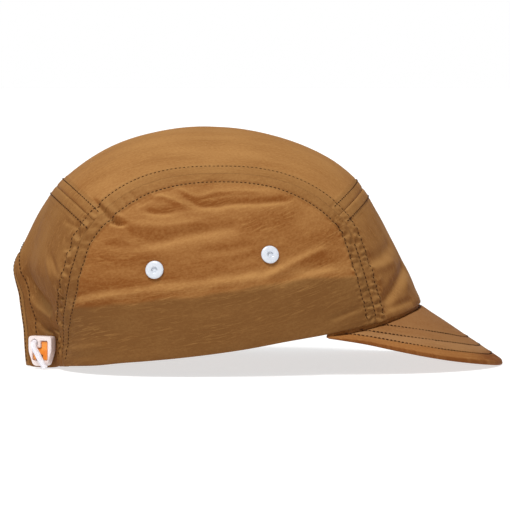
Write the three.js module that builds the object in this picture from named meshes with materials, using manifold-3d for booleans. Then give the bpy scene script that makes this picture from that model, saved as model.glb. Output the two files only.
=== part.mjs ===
// A light five-panel running cap with a short curved peak, standing on a flat surface.
// Millimetres, +Z up, the peak towards -Y and the wearer's right side at -X.
import * as THREE from "three";
import { mergeVertices } from "three/addons/utils/BufferGeometryUtils.js";
import Module from "manifold-3d";

const wasm = await Module();
wasm.setup();

const DEG = Math.PI / 180;
const GAP = 0.3; // clearance between neighbouring pieces
const SEAM_REACH = 100; // the crown's usual reach, at which the gap of a seam is taken
const FAR = 120; // beyond the crown every way
const CLOTH = 1.5; // a crown panel with its seam allowances and crinkles

// Rows of numbers as objects with named columns.
function table(columns, rows) {
  return rows.map((row) => Object.fromEntries(columns.map((name, i) => [name, row[i]])));
}

const nylon = new THREE.MeshStandardMaterial({ color: "#a06b38", roughness: 0.55 });
const peakNylon = new THREE.MeshStandardMaterial({ color: "#8a5a30", roughness: 0.6 });
const bandKnit = new THREE.MeshStandardMaterial({ color: "#4d3b22", roughness: 0.9 });
const whiteLacquer = new THREE.MeshStandardMaterial({ color: "#e4e6ec", roughness: 0.3 });
const frostedPlastic = new THREE.MeshStandardMaterial({ color: "#d9d3dc", roughness: 0.4 });
const orangePlastic = new THREE.MeshStandardMaterial({ color: "#f28a2a", roughness: 0.35 });
const whiteElastic = new THREE.MeshStandardMaterial({ color: "#e6e3e6", roughness: 0.8 });

// The crown's reach from the point on the floor below its top, along its outline.
const FRONT_OUTLINE = table(["out", "up"], [
  [103.5, 0], [102.5, 14], [99.3, 29.3], [95.3, 38], [90.3, 48.5], [84.6, 60.5],
  [76.5, 75], [65.8, 90.3], [52.5, 100.6], [29.5, 110.2], [0, 114.9],
]);
const BACK_OUTLINE = table(["out", "up"], [
  [92, 0], [93.3, 15], [95.5, 33], [97.7, 49], [91.6, 62.5], [84.3, 76.3],
  [72.7, 91], [51.8, 105], [28, 112.6], [0, 114.9],
]);
const SIDE_OUTLINE = table(["out", "up"], [
  [76, 0], [78.5, 15], [79.5, 32], [78.5, 48], [74.5, 64], [67, 79],
  [56, 92], [42, 102], [24, 110.3], [0, 114.9],
]);
// How much squarer than an ellipse the crown is in plan at the floor.
const FRONT_SQUARENESS = 0.25;
const BACK_SQUARENESS = 0.6;

// The closure cord draws the hem of the opening out into a beak behind the head.
const BEAK_OUT = table(["rise", "out"], [
  [-10, 13], [0, 13], [10, 14], [20, 11], [28, 6], [38, 1.6], [46, 0], [90, 0],
]);
const BEAK_FLAT = 6; // half the beak's blunt end
const BEAK_SPREAD = 10; // how far round the panel the beak dies away

// Height of the lower edge above the floor, by the distance in front of the crown's middle.
const RIM = table(["ahead", "up"], [
  [-120, 0], [-84, 0], [-80, 0.4], [-76.5, 1.8], [-71, 3], [-60, 4.5], [-49, 6.2], [-38, 7.4],
  [-16, 9.8], [6, 12.7], [28.4, 16.5], [46.4, 19.2], [62.3, 21.9], [74, 24.3], [85.2, 27.1],
  [92.6, 29.1], [99, 30.3], [110, 31],
]);

// The arch seam of a side panel. Along is the angle from the front over the top to the back,
// and across is the angle out from the middle of the cap to its side, both in degrees.
const ARCH = table(["along", "across"], [
  [0, 39], [17, 38.5], [25, 37.7], [34, 36.1], [43, 33.4], [52, 30.2], [62, 30], [90, 30],
  [110, 30.3], [126.5, 31.4], [136, 31.9], [143, 33.4], [149, 33.9], [154, 32.5], [160, 29.8],
  [165, 27.4], [184, 22.6],
]);
// Where along the cap the middle panels begin and end: on its middle line, and at the arch seam,
// where the side panels have the same rows of facets.
const MIDDLE = table(["panel", "from", "to", "archFrom", "archTo", "rows"], [
  ["front", 12, 50.6, 12, 53.7, 9],
  ["top", 50.6, 131.9, 53.7, 130.2, 16],
  ["back", 131.9, 182, 130.2, 182, 13],
]);

// Folds of the cloth, from one end to the other: half its width, and its height or (below 0) depth.
const FOLDS = table(["along", "across", "toAlong", "toAcross", "width", "height"], [
  [107, 34.5, 97.5, 38.4, 3.2, -1.4],
  [97.5, 38.4, 86.8, 36.9, 3.2, -1.2],
  [86.8, 36.9, 71, 34.6, 3, -0.8],
  [111.7, 37, 104.7, 39.6, 3, -1.1],
  [127, 27.5, 123.4, 36.3, 3, -1.3],
  [123.7, 38, 108.4, 44.7, 4, -0.9],
  [133, 37, 109.3, 46.5, 4, -0.6],
  [67.3, 58.3, 50.5, 41.6, 4.5, 0.9],
  [51, 51, 42.5, 43.4, 4, 0.6],
  [170.7, 36, 164.4, 50.7, 4, 0.8],
  [39.2, 29, 36.4, 21, 4.5, -1.6],
  [35.2, 30.6, 31.3, 14, 4.5, 1.1],
  [31.1, 20, 24.8, 34, 4.5, -1.3],
  [154.3, 17.5, 158.8, 26, 4.5, -1.5],
  [137.6, 20, 147.6, 30, 4, 0.9],
  [158.7, 15, 163.4, 24, 4, 1],
]);

const SLIT_HALF = 6.2; // the adjuster opening, drawn nearly shut
const SLIT_TOP = 48.5;
const SLIT_STRAIGHT = 30; // height at which its sides start to close into an arch
const HEM_SIDE = 4.3; // the hem's width seen from behind, beside and above the opening
const HEM_ABOVE = 6;
const HEM_PROUD = 0.5;
const HEM_DEEP = 2.5;
const HEM_START = 142; // along and across, round all of the hem
const HEM_ACROSS = 9;

const BAND_DEPTH = 2.6; // from the crown's outside to the sweatband's outside
const BAND_CLOTH = 1.3;
const BAND_LOW = 1; // heights above the crown's lower edge
const BAND_HIGH = 28;
const BAND_END = 160; // azimuth of its ends, which stop short of the cord

const PEAK_TIP = 138; // ahead of the crown's middle
const PEAK_ENDS = 46.4;
const PEAK_HALF = 72;
const PEAK_POWER = 2.15; // a little blunter than an ellipse
const PEAK_THICK = 2.3;
const PEAK_TAPER = 0.5; // share of the thickness lost at its ends
const PEAK_TAPER_POWER = 8; // how late along the peak it is lost
const PEAK_SEAM_END = 55; // azimuth of the ends of its seam
const PEAK_EDGE_END = 88; // angle round its edge of its ends
const PEAK_EDGE = table(["ahead", "up"], [
  [40, 18.6], [46.4, 17.6], [64.4, 14.6], [80.2, 11], [94.5, 7.8], [107.1, 5.3],
  [117.9, 3.4], [126.5, 1.9], [133, 0.7], [138, 0],
]);

const SNAP_SHANK = 1.3;
// Half of a snap cut through its axis, from the cloth's outside up: washer, shank and dimpled cap.
const SNAP_PROFILE = table(["radius", "up"], [
  [0, -2.8], [3.4, -2.8], [3.4, -1.9], [SNAP_SHANK, -1.9], [SNAP_SHANK, 0.4], [4.3, 0.4],
  [4.3, 0.9], [3.6, 1.3], [1.9, 1.4], [1.5, 0.8], [0, 0.8],
]);
const SNAPS = table(["place", "along", "across"], [
  ["rear", 123.7, 51.6],
  ["front", 70.6, 51.4],
]);

// The toggle's outlines are in its own frame: X along its width, Y up, Z out of the cap.
const TOGGLE_THICK = 4.5;
const TOGGLE_TURN = 30; // degrees from the side view to the toggle's face
const TOGGLE_CORNER = new THREE.Vector3(-19.6, 89.3, 1.6); // its lower rear corner next to the cloth
const TOGGLE_OUTLINE = [[2.5, 0], [10.1, 0], [12.6, 7], [12.6, 14.2], [0, 14.2], [0, 7]];
const TOGGLE_WINDOW = [[2.2, 2.6], [10.4, 2.6], [10.4, 12], [6.6, 12], [6.6, 8.6], [2.2, 8.6]];
const TOGGLE_BORE = new THREE.Vector2(3.3, 11);
const LOCK_SUNK = 0.6; // below both faces of the toggle
const LOCK_OUTLINE = [
  [2.5, 2.9], [5, 2.9], [5, 5.4], [7.6, 5.4], [7.6, 2.9], [10.1, 2.9],
  [10.1, 11.7], [6.9, 11.7], [6.9, 8.3], [2.5, 8.3],
];
const OUTER_ROUND = 1.8; // how far the corners of the three outlines are cut round
const WINDOW_ROUND = 0.8;
const LOCK_ROUND = 0.5;

const CORD_RADIUS = 1.4;
const CORD_INSIDE = [[5.2, 90.9, 8], [1, 88.9, 9], [-5, 84.9, 11.2]]; // from the far hem
const CORD_ON_TOGGLE = [
  [3.3, 11, -9.5], [3.3, 11, -5], [3.3, 11, 0], [3.3, 11, 4.2], [4, 9.6, 6.3], [6.3, 5.7, 6.5],
  [8.3, 2.2, 6.4], [10.1, -0.65, 6.1],
];

// A curve through a table's rows that never swings past them.
function smooth(rows, x, y) {
  const step = rows.slice(1).map((row, i) => (row[y] - rows[i][y]) / (row[x] - rows[i][x]));
  const slope = rows.map((row, i) => {
    if (i === 0 || i === rows.length - 1) return i ? step[i - 1] : step[0];
    return step[i - 1] * step[i] > 0 ? 2 / (1 / step[i - 1] + 1 / step[i]) : 0;
  });
  return (at) => {
    let i = rows.findIndex((row) => row[x] > at) - 1;
    if (i === -2) i = rows.length - 2;
    i = Math.max(0, i);
    const width = rows[i + 1][x] - rows[i][x];
    const t = (at - rows[i][x]) / width;
    return (
      (2 * t ** 3 - 3 * t ** 2 + 1) * rows[i][y] +
      (t ** 3 - 2 * t ** 2 + t) * width * slope[i] +
      (3 * t ** 2 - 2 * t ** 3) * rows[i + 1][y] +
      (t ** 3 - t ** 2) * width * slope[i + 1]
    );
  };
}

// An outline's reach by its angle of rise from the floor.
function reachByRise(outline) {
  const rows = outline.map(({ out, up }) => ({
    rise: Math.atan2(up, out),
    reach: Math.hypot(out, up),
  }));
  return smooth(rows, "rise", "reach");
}

const frontReach = reachByRise(FRONT_OUTLINE);
const backReach = reachByRise(BACK_OUTLINE);
const sideReach = reachByRise(SIDE_OUTLINE);
const beakOut = smooth(BEAK_OUT, "rise", "out");
const rimUp = smooth(RIM, "ahead", "up");
const archAcross = smooth(ARCH, "along", "across");
const peakEdgeUp = smooth(PEAK_EDGE, "ahead", "up");

// Unit direction by the angles along and across; across is positive on the wearer's right.
function seamDirection(along, across) {
  return new THREE.Vector3(
    -Math.sin(across * DEG),
    -Math.cos(across * DEG) * Math.cos(along * DEG),
    Math.cos(across * DEG) * Math.sin(along * DEG),
  );
}

// Unit direction by azimuth from the front and rise from the floor.
function compassDirection(azimuth, rise) {
  return new THREE.Vector3(
    -Math.sin(azimuth * DEG) * Math.cos(rise * DEG),
    -Math.cos(azimuth * DEG) * Math.cos(rise * DEG),
    Math.sin(rise * DEG),
  );
}

// Reach of the smooth crown in a direction.
function crownReach(direction) {
  const rise = Math.asin(direction.z);
  const level = Math.hypot(direction.x, direction.y) || 1e-9;
  const toSide = Math.abs(direction.x) / level;
  const toFront = -direction.y / level;
  const isFront = toFront > 0;
  const beak = isFront ? 0 : beakOut(rise / DEG);
  const lengthwise = isFront ? frontReach(rise) : backReach(rise) - beak;
  const squareness = isFront ? FRONT_SQUARENESS : BACK_SQUARENESS;
  const power = 2 + squareness * Math.cos(rise) ** 2;
  const sum = (Math.abs(toFront) / lengthwise) ** power + (toSide / sideReach(rise)) ** power;
  const beyond = Math.max(0, lengthwise * toSide - BEAK_FLAT);
  return sum ** (-1 / power) + beak * Math.exp(-((beyond / BEAK_SPREAD) ** 2));
}

const smoothPoint = (direction) => direction.clone().multiplyScalar(crownReach(direction));

const foldLines = FOLDS.map((fold) => ({
  line: new THREE.Line3(
    smoothPoint(seamDirection(fold.along, fold.across)),
    smoothPoint(seamDirection(fold.toAlong, fold.toAcross)),
  ),
  width: fold.width,
  height: fold.height,
}));

// How far the folds lift or sink the cloth; both sides of the cap fold alike.
function foldHeight(point) {
  const here = new THREE.Vector3(-Math.abs(point.x), point.y, point.z);
  const nearest = new THREE.Vector3();
  return foldLines.reduce((sum, { line, width, height }) => {
    line.closestPointToPoint(here, true, nearest);
    return sum + height * Math.exp(-((nearest.distanceTo(here) / width) ** 2));
  }, 0);
}

// Point of the cloth in a direction, at a depth under the crown's outside.
function crownPoint(direction, depth) {
  const smoothOne = smoothPoint(direction);
  return smoothOne.setLength(smoothOne.length() + foldHeight(smoothOne) - depth);
}

// Rise at which the crown, at an azimuth, is a height above its lower edge.
function riseAbove(azimuth, height) {
  let low = -8;
  let high = 60;
  for (let i = 0; i < 40; i++) {
    const middle = (low + high) / 2;
    const point = smoothPoint(compassDirection(azimuth, middle));
    if (point.z - rimUp(-point.y) > height) high = middle;
    else low = middle;
  }
  return low;
}

// A closed sheet from a function of its two directions and its thickness, each 0 to 1.
function sheet(rows, columns, pointAt) {
  const positions = [];
  const index = [];
  for (const w of [0, 1])
    for (let i = 0; i <= rows; i++)
      for (let j = 0; j <= columns; j++)
        positions.push(...pointAt(i / rows, j / columns, w).toArray());
  const id = (i, j, w) => (w * (rows + 1) + i) * (columns + 1) + j;
  const quad = (a, b, c, d) => index.push(a, b, c, a, c, d);
  for (let i = 0; i < rows; i++)
    for (let j = 0; j < columns; j++) {
      quad(id(i, j, 0), id(i, j + 1, 0), id(i + 1, j + 1, 0), id(i + 1, j, 0));
      quad(id(i, j, 1), id(i + 1, j, 1), id(i + 1, j + 1, 1), id(i, j + 1, 1));
    }
  for (let i = 0; i < rows; i++) {
    quad(id(i, 0, 0), id(i + 1, 0, 0), id(i + 1, 0, 1), id(i, 0, 1));
    quad(id(i, columns, 0), id(i, columns, 1), id(i + 1, columns, 1), id(i + 1, columns, 0));
  }
  for (let j = 0; j < columns; j++) {
    quad(id(0, j, 0), id(0, j, 1), id(0, j + 1, 1), id(0, j + 1, 0));
    quad(id(rows, j, 0), id(rows, j + 1, 0), id(rows, j + 1, 1), id(rows, j, 1));
  }
  const geometry = new THREE.BufferGeometry();
  geometry.setAttribute("position", new THREE.Float32BufferAttribute(positions, 3));
  return geometry.setIndex(index);
}

// A round cord through points.
function rod(points, radius, steps, sides) {
  const section = Array.from({ length: sides }, (_, i) => {
    const turn = (2 * Math.PI * i) / sides;
    return new THREE.Vector2(radius * Math.cos(turn), radius * Math.sin(turn));
  });
  const extrudePath = new THREE.CatmullRomCurve3(points);
  const options = { steps, bevelEnabled: false, extrudePath };
  return new THREE.ExtrudeGeometry(new THREE.Shape(section), options);
}

// Manifold solid of a closed geometry, turned to face out.
function solid(geometry) {
  const bare = geometry.clone().deleteAttribute("normal").deleteAttribute("uv");
  const merged = mergeVertices(bare, 1e-4);
  const make = (triVerts) =>
    new wasm.Manifold(
      new wasm.Mesh({
        numProp: 3,
        vertProperties: merged.attributes.position.array,
        triVerts: new Uint32Array(triVerts),
      }),
    );
  const made = make(merged.index.array);
  return made.volume() > 0 ? made : make([...merged.index.array].reverse());
}

// A flat outline drawn out to a prism, placed by a matrix.
function prism(points, length, matrix) {
  const shape = new THREE.Shape(points.map(([x, y]) => new THREE.Vector2(x, y)));
  const options = { depth: length, bevelEnabled: false, curveSegments: 12 };
  return solid(new THREE.ExtrudeGeometry(shape, options).applyMatrix4(matrix));
}

// Everything below the cap's lower edge, as a tool to cut with.
function underRim() {
  const points = [[FAR, -FAR], [-FAR, -FAR]];
  for (let ahead = FAR; ahead >= -FAR; ahead -= 8) points.push([-ahead, rimUp(ahead)]);
  const sideways = new THREE.Matrix4().makeBasis(
    new THREE.Vector3(0, 1, 0),
    new THREE.Vector3(0, 0, 1),
    new THREE.Vector3(1, 0, 0),
  );
  return prism(points, 2 * FAR, sideways.setPosition(-FAR, 0, 0));
}

// The arched opening at the back, with its outline grown outwards, as a tool to cut with.
function openingPrism(beside, above) {
  const half = SLIT_HALF + beside;
  const rise = SLIT_TOP + above - SLIT_STRAIGHT;
  const points = [[half, -FAR]];
  for (let turn = 0; turn <= 180; turn += 15)
    points.push([half * Math.cos(turn * DEG), SLIT_STRAIGHT + rise * Math.sin(turn * DEG)]);
  points.push([-half, -FAR]);
  const backwards = new THREE.Matrix4().makeBasis(
    new THREE.Vector3(1, 0, 0),
    new THREE.Vector3(0, 0, 1),
    new THREE.Vector3(0, -1, 0),
  );
  return prism(points, FAR / 2, backwards.setPosition(0, FAR, 0));
}

const mix = THREE.MathUtils.lerp;
const belowRim = underRim();
const halfGap = GAP / 2 / SEAM_REACH / DEG; // as an angle

function mesh(name, material, made) {
  const { vertProperties, triVerts, numProp } = made.getMesh();
  if (numProp !== 3) throw new Error("a solid with more than positions");
  const geometry = new THREE.BufferGeometry();
  geometry.setAttribute("position", new THREE.BufferAttribute(vertProperties, 3));
  const faces = geometry.setIndex(new THREE.BufferAttribute(triVerts, 1));
  const piece = new THREE.Mesh(faces, material);
  piece.name = name;
  return piece;
}

// The strip of crown between the two arches that a middle panel is cut from.
function middleStrip(panel, columns) {
  const section = MIDDLE.find((one) => one.panel === panel);
  return solid(
    sheet(section.rows, columns, (u, v, w) => {
      const aside = mix(-1, 1, v);
      const from = mix(section.from, section.archFrom, aside ** 2) + halfGap;
      const to = mix(section.to, section.archTo, aside ** 2) - halfGap;
      const along = mix(from, to, u);
      const across = aside * (archAcross(along) - halfGap);
      return crownPoint(seamDirection(along, across), w * CLOTH);
    }),
  );
}

function topPanel() {
  return mesh("top_panel", nylon, middleStrip("top", 12));
}

function frontPanel() {
  return mesh("front_panel", nylon, middleStrip("front", 18).subtract(belowRim));
}

function backPanel(toggle) {
  const strip = middleStrip("back", 24);
  const cordHole = solid(new THREE.CylinderGeometry(CORD_RADIUS + GAP, CORD_RADIUS + GAP, 9, 16)
    .rotateX(90 * DEG)
    .translate(TOGGLE_BORE.x, TOGGLE_BORE.y, -4.9)
    .applyMatrix4(toggle));
  const opening = openingPrism(HEM_SIDE + GAP, HEM_ABOVE + GAP);
  const cut = strip.subtract(belowRim).subtract(opening).subtract(cordHole);
  return mesh("back_panel", nylon, cut);
}

function openingHem() {
  const strip = solid(
    sheet(13, 12, (u, v, w) => {
      const along = mix(HEM_START, MIDDLE.at(-1).to, u);
      const direction = seamDirection(along, mix(-1, 1, v) * HEM_ACROSS);
      return crownPoint(direction, mix(-HEM_PROUD, HEM_DEEP, w));
    }),
  );
  const hem = strip.intersect(openingPrism(HEM_SIDE, HEM_ABOVE)).subtract(openingPrism(0, 0));
  return mesh("opening_hem", nylon, hem.subtract(belowRim));
}

// Where a snap sits: its middle on the cloth, and its axis out of the cap along local +Y.
function snapPlace({ along, across }, side) {
  const at = (a, b) => smoothPoint(seamDirection(a, side * b));
  const middle = at(along, across);
  const forward = at(along - 2, across).sub(at(along + 2, across)).normalize();
  const down = at(along, across + 2).sub(at(along, across - 2)).normalize();
  const out = new THREE.Vector3().crossVectors(down, forward).multiplyScalar(side).normalize();
  const third = new THREE.Vector3().crossVectors(forward, out);
  return new THREE.Matrix4().makeBasis(forward, out, third).setPosition(middle);
}

// Across angle at which the crown dips a little under its lower edge, for an angle along it.
function rimAcross(along) {
  let low = archAcross(along) + 1.5;
  let high = 86;
  for (let i = 0; i < 30; i++) {
    const middle = (low + high) / 2;
    const point = smoothPoint(seamDirection(along, middle));
    if (point.z - rimUp(-point.y) < -1) high = middle;
    else low = middle;
  }
  return high;
}

function sidePanel(name, side) {
  const rows = MIDDLE.flatMap(({ archFrom, archTo, rows: count }) =>
    Array.from({ length: count }, (_, i) => mix(archFrom, archTo, i / count)));
  rows.push(MIDDLE.at(-1).archTo);
  const shell = solid(
    sheet(rows.length - 1, 9, (u, v, w) => {
      const along = rows[Math.round(u * (rows.length - 1))];
      const across = side * mix(archAcross(along) + halfGap, rimAcross(along), v);
      return crownPoint(seamDirection(along, across), w * CLOTH);
    }),
  );
  const holes = SNAPS.map((snap) =>
    solid(new THREE.CylinderGeometry(SNAP_SHANK + GAP, SNAP_SHANK + GAP, 12, 12)
      .applyMatrix4(snapPlace(snap, side))));
  const trimmed = shell.subtract(belowRim);
  return mesh(name, nylon, holes.reduce((left, hole) => left.subtract(hole), trimmed));
}

// A snap's cap with a dimple, its shank through the cloth and the washer that holds it.
function snap(name, place, side) {
  const profile = SNAP_PROFILE.map(({ radius, up }) => new THREE.Vector2(radius, up));
  const turned = new THREE.LatheGeometry(profile, 12);
  return mesh(name, whiteLacquer, solid(turned.applyMatrix4(snapPlace(place, side))));
}

function sweatband() {
  const band = sheet(54, 4, (u, v, w) => {
    const azimuth = mix(-BAND_END, BAND_END, u);
    const rise = riseAbove(azimuth, mix(BAND_LOW, BAND_HIGH, v));
    return crownPoint(compassDirection(azimuth, rise), BAND_DEPTH + w * BAND_CLOTH);
  });
  return mesh("sweatband", bandKnit, solid(band));
}

// Point of the peak's lower outer edge, by an angle from the tip round to its end.
function peakEdge(angle) {
  const sideways = Math.sign(angle) * Math.abs(Math.sin(angle * DEG)) ** (2 / PEAK_POWER);
  const ahead = Math.cos(angle * DEG) ** (2 / PEAK_POWER);
  const reach = mix(PEAK_ENDS, PEAK_TIP, ahead);
  return new THREE.Vector3(-PEAK_HALF * sideways, -reach, peakEdgeUp(reach));
}

function peak() {
  const board = sheet(36, 5, (u, v, w) => {
    const side = mix(-1, 1, u);
    const azimuth = side * PEAK_SEAM_END;
    const thick = PEAK_THICK * (1 - PEAK_TAPER * Math.abs(side) ** PEAK_TAPER_POWER);
    const seam = crownPoint(compassDirection(azimuth, riseAbove(azimuth, 0)), CLOTH);
    seam.z -= 1.5 * GAP + thick;
    const point = seam.lerp(peakEdge(side * PEAK_EDGE_END), v);
    point.z += (1 - w) * thick;
    return point;
  });
  return mesh("peak", peakNylon, solid(board));
}

// Places the toggle's own frame in the cap's.
function toggleFrame() {
  const turn = TOGGLE_TURN * DEG;
  return new THREE.Matrix4()
    .makeBasis(
      new THREE.Vector3(-Math.sin(turn), -Math.cos(turn), 0),
      new THREE.Vector3(0, 0, 1),
      new THREE.Vector3(-Math.cos(turn), Math.sin(turn), 0),
    )
    .setPosition(TOGGLE_CORNER);
}

// A polygon's outline with each corner cut round.
function roundCorners(points, radius) {
  return points.flatMap(([x, y], i) => {
    const corner = new THREE.Vector2(x, y);
    const toward = (other) => new THREE.Vector2(...other).sub(corner).setLength(radius).add(corner);
    const before = toward(points[(i + points.length - 1) % points.length]);
    const after = toward(points[(i + 1) % points.length]);
    const bend = new THREE.QuadraticBezierCurve(before, corner, after);
    return bend.getPoints(4).map((point) => [point.x, point.y]);
  });
}

function toggleBore(frame) {
  return solid(new THREE.CylinderGeometry(CORD_RADIUS + GAP, CORD_RADIUS + GAP, 12, 20)
    .rotateX(90 * DEG)
    .translate(TOGGLE_BORE.x, TOGGLE_BORE.y, TOGGLE_THICK / 2)
    .applyMatrix4(frame));
}

function toggleBody(frame) {
  const outside = prism(roundCorners(TOGGLE_OUTLINE, OUTER_ROUND), TOGGLE_THICK, frame);
  const through = frame.clone().multiply(new THREE.Matrix4().setPosition(0, 0, -1));
  const window = prism(roundCorners(TOGGLE_WINDOW, WINDOW_ROUND), TOGGLE_THICK + 2, through);
  const shell = outside.subtract(window).subtract(toggleBore(frame));
  return mesh("toggle_body", frostedPlastic, shell);
}

// The lock fills the window, with a slot for the finger between its two legs.
function toggleLock(frame) {
  const inset = frame.clone().multiply(new THREE.Matrix4().setPosition(0, 0, LOCK_SUNK));
  const outline = roundCorners(LOCK_OUTLINE, LOCK_ROUND);
  return mesh("toggle_lock", orangePlastic, prism(outline, TOGGLE_THICK - 2 * LOCK_SUNK, inset));
}

// The cord: from the far hem across the opening, out through the cloth and the toggle,
// then down over the toggle's face to a tail that ends on the floor.
function closureCord(frame) {
  const points = [
    ...CORD_INSIDE.map((point) => new THREE.Vector3(...point)),
    ...CORD_ON_TOGGLE.map((point) => new THREE.Vector3(...point).applyMatrix4(frame)),
  ];
  return mesh("closure_cord", whiteElastic, solid(rod(points, CORD_RADIUS, 26, 8)));
}

const toggle = toggleFrame();
const cap = new THREE.Group();
cap.name = "running_cap";
cap.add(topPanel(), frontPanel(), backPanel(toggle), openingHem());
cap.add(sidePanel("side_panel_right", 1), sidePanel("side_panel_left", -1));
for (const place of SNAPS) {
  cap.add(snap("snap_right_" + place.place, place, 1));
  cap.add(snap("snap_left_" + place.place, place, -1));
}
cap.add(sweatband(), peak(), toggleBody(toggle), toggleLock(toggle), closureCord(toggle));

// The part's origin is the middle of its footprint, on the floor.
const box = new THREE.Box3().setFromObject(cap);
const middle = box.getCenter(new THREE.Vector3());
cap.position.set(-middle.x, -middle.y, -box.min.z);

export default cap;
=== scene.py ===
# A light five-panel running cap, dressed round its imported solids: crinkled nylon with double
# stitched seams, press snaps, a stiff peak, a knit sweatband, and a cord with its toggle.
import math

import bmesh
import bpy
import numpy as np
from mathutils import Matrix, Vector, noise


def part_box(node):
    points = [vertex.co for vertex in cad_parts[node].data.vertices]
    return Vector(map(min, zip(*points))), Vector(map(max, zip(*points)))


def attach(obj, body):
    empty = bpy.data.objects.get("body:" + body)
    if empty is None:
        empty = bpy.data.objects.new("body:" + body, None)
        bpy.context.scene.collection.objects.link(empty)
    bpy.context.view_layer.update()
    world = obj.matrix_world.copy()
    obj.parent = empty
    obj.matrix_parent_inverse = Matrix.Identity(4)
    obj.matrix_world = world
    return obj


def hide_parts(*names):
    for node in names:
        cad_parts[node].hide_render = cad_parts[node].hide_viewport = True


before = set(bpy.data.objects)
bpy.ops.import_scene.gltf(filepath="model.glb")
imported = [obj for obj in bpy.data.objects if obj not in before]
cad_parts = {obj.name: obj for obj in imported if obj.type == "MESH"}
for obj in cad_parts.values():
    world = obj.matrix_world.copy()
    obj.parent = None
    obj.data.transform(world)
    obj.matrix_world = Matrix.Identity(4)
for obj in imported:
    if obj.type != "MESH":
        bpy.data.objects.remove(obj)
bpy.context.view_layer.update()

MM = 0.001
DEG = math.pi / 180

# The photograph's camera. It looks at a point over the middle of the cap.
CAMERA_AZIMUTH = -94
CAMERA_ELEVATION = 3
CAMERA_DISTANCE = 1600
CAMERA_TARGET = (0, -18.4, 52.7)
PHOTO_WIDTH = 247.35  # what the photograph's width spans at the target
PHOTO_PIXELS = 510
SENSOR = 36

# Everything on the crown is in millimetres from the floor point below its top. Along is the
# angle from the front over the top to the back, and across the angle out to the side, in degrees.
PEAK_TIP = 138
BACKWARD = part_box("peak")[0].y / MM + PEAK_TIP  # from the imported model's origin to that point

# The crown's half outlines in front, behind and to the side: how far out, and how high. A
# squareness of 0 makes its level sections ellipses, and more makes them fuller.
FRONT_OUTLINE = [
    (103.5, 0), (102.5, 14), (99.3, 29.3), (95.3, 38), (90.3, 48.5), (84.6, 60.5),
    (76.5, 75), (65.8, 90.3), (52.5, 100.6), (29.5, 110.2), (0, 114.9),
]
BACK_OUTLINE = [
    (92, 0), (93.3, 15), (95.5, 33), (97.7, 49), (91.6, 62.5), (84.3, 76.3),
    (72.7, 91), (51.8, 105), (28, 112.6), (0, 114.9),
]
SIDE_OUTLINE = [
    (76, 0), (78.5, 15), (79.5, 32), (78.5, 48), (74.5, 64), (67, 79),
    (56, 92), (42, 102), (24, 110.3), (0, 114.9),
]
FRONT_SQUARENESS = 0.25
BACK_SQUARENESS = 0.6
# A narrow ridge down the back round the opening: how far it stands out at each rise in degrees,
# the half width over which it is level, and the width over which it fades.
BEAK_OUT = [(-10, 13), (0, 13), (10, 14), (20, 11), (28, 6), (38, 1.6), (46, 0), (90, 0)]
BEAK_FLAT = 6
BEAK_SPREAD = 10
# The crown's lower edge: how high it is by how far forward.
RIM = [
    (-120, 0), (-84, 0), (-80, 0.4), (-76.5, 1.8), (-71, 3), (-60, 4.5), (-49, 6.2),
    (-38, 7.4), (-16, 9.8), (6, 12.7), (28.4, 16.5), (46.4, 19.2), (62.3, 21.9),
    (74, 24.3), (85.2, 27.1), (92.6, 29.1), (99, 30.3), (110, 31),
]
# The arch seam: how far across it is by how far along.
ARCH = [
    (0, 39), (17, 38.5), (25, 37.7), (34, 36.1), (43, 33.4), (52, 30.2), (62, 30), (90, 30),
    (110, 30.3), (126.5, 31.4), (136, 31.9), (143, 33.4), (149, 33.9), (154, 32.5),
    (160, 29.8), (165, 27.4), (184, 22.6),
]
# The cross seams: along at the cap's middle line and at the arch seam.
FRONT_SEAM = (50.6, 53.7)
BACK_SEAM = (131.9, 130.2)

CLOTH = 1.5
# The sweatband: its depth below the crown's face, its thickness at its edges and what it gains
# between them, their height above the crown's lower edge, and the azimuth of its ends behind.
BAND_DEPTH = 2.6
BAND_CLOTH = 1.3
BAND_BULGE = 0.5
BAND_LOW = 1
BAND_HIGH = 28
BAND_END = 160

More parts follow.
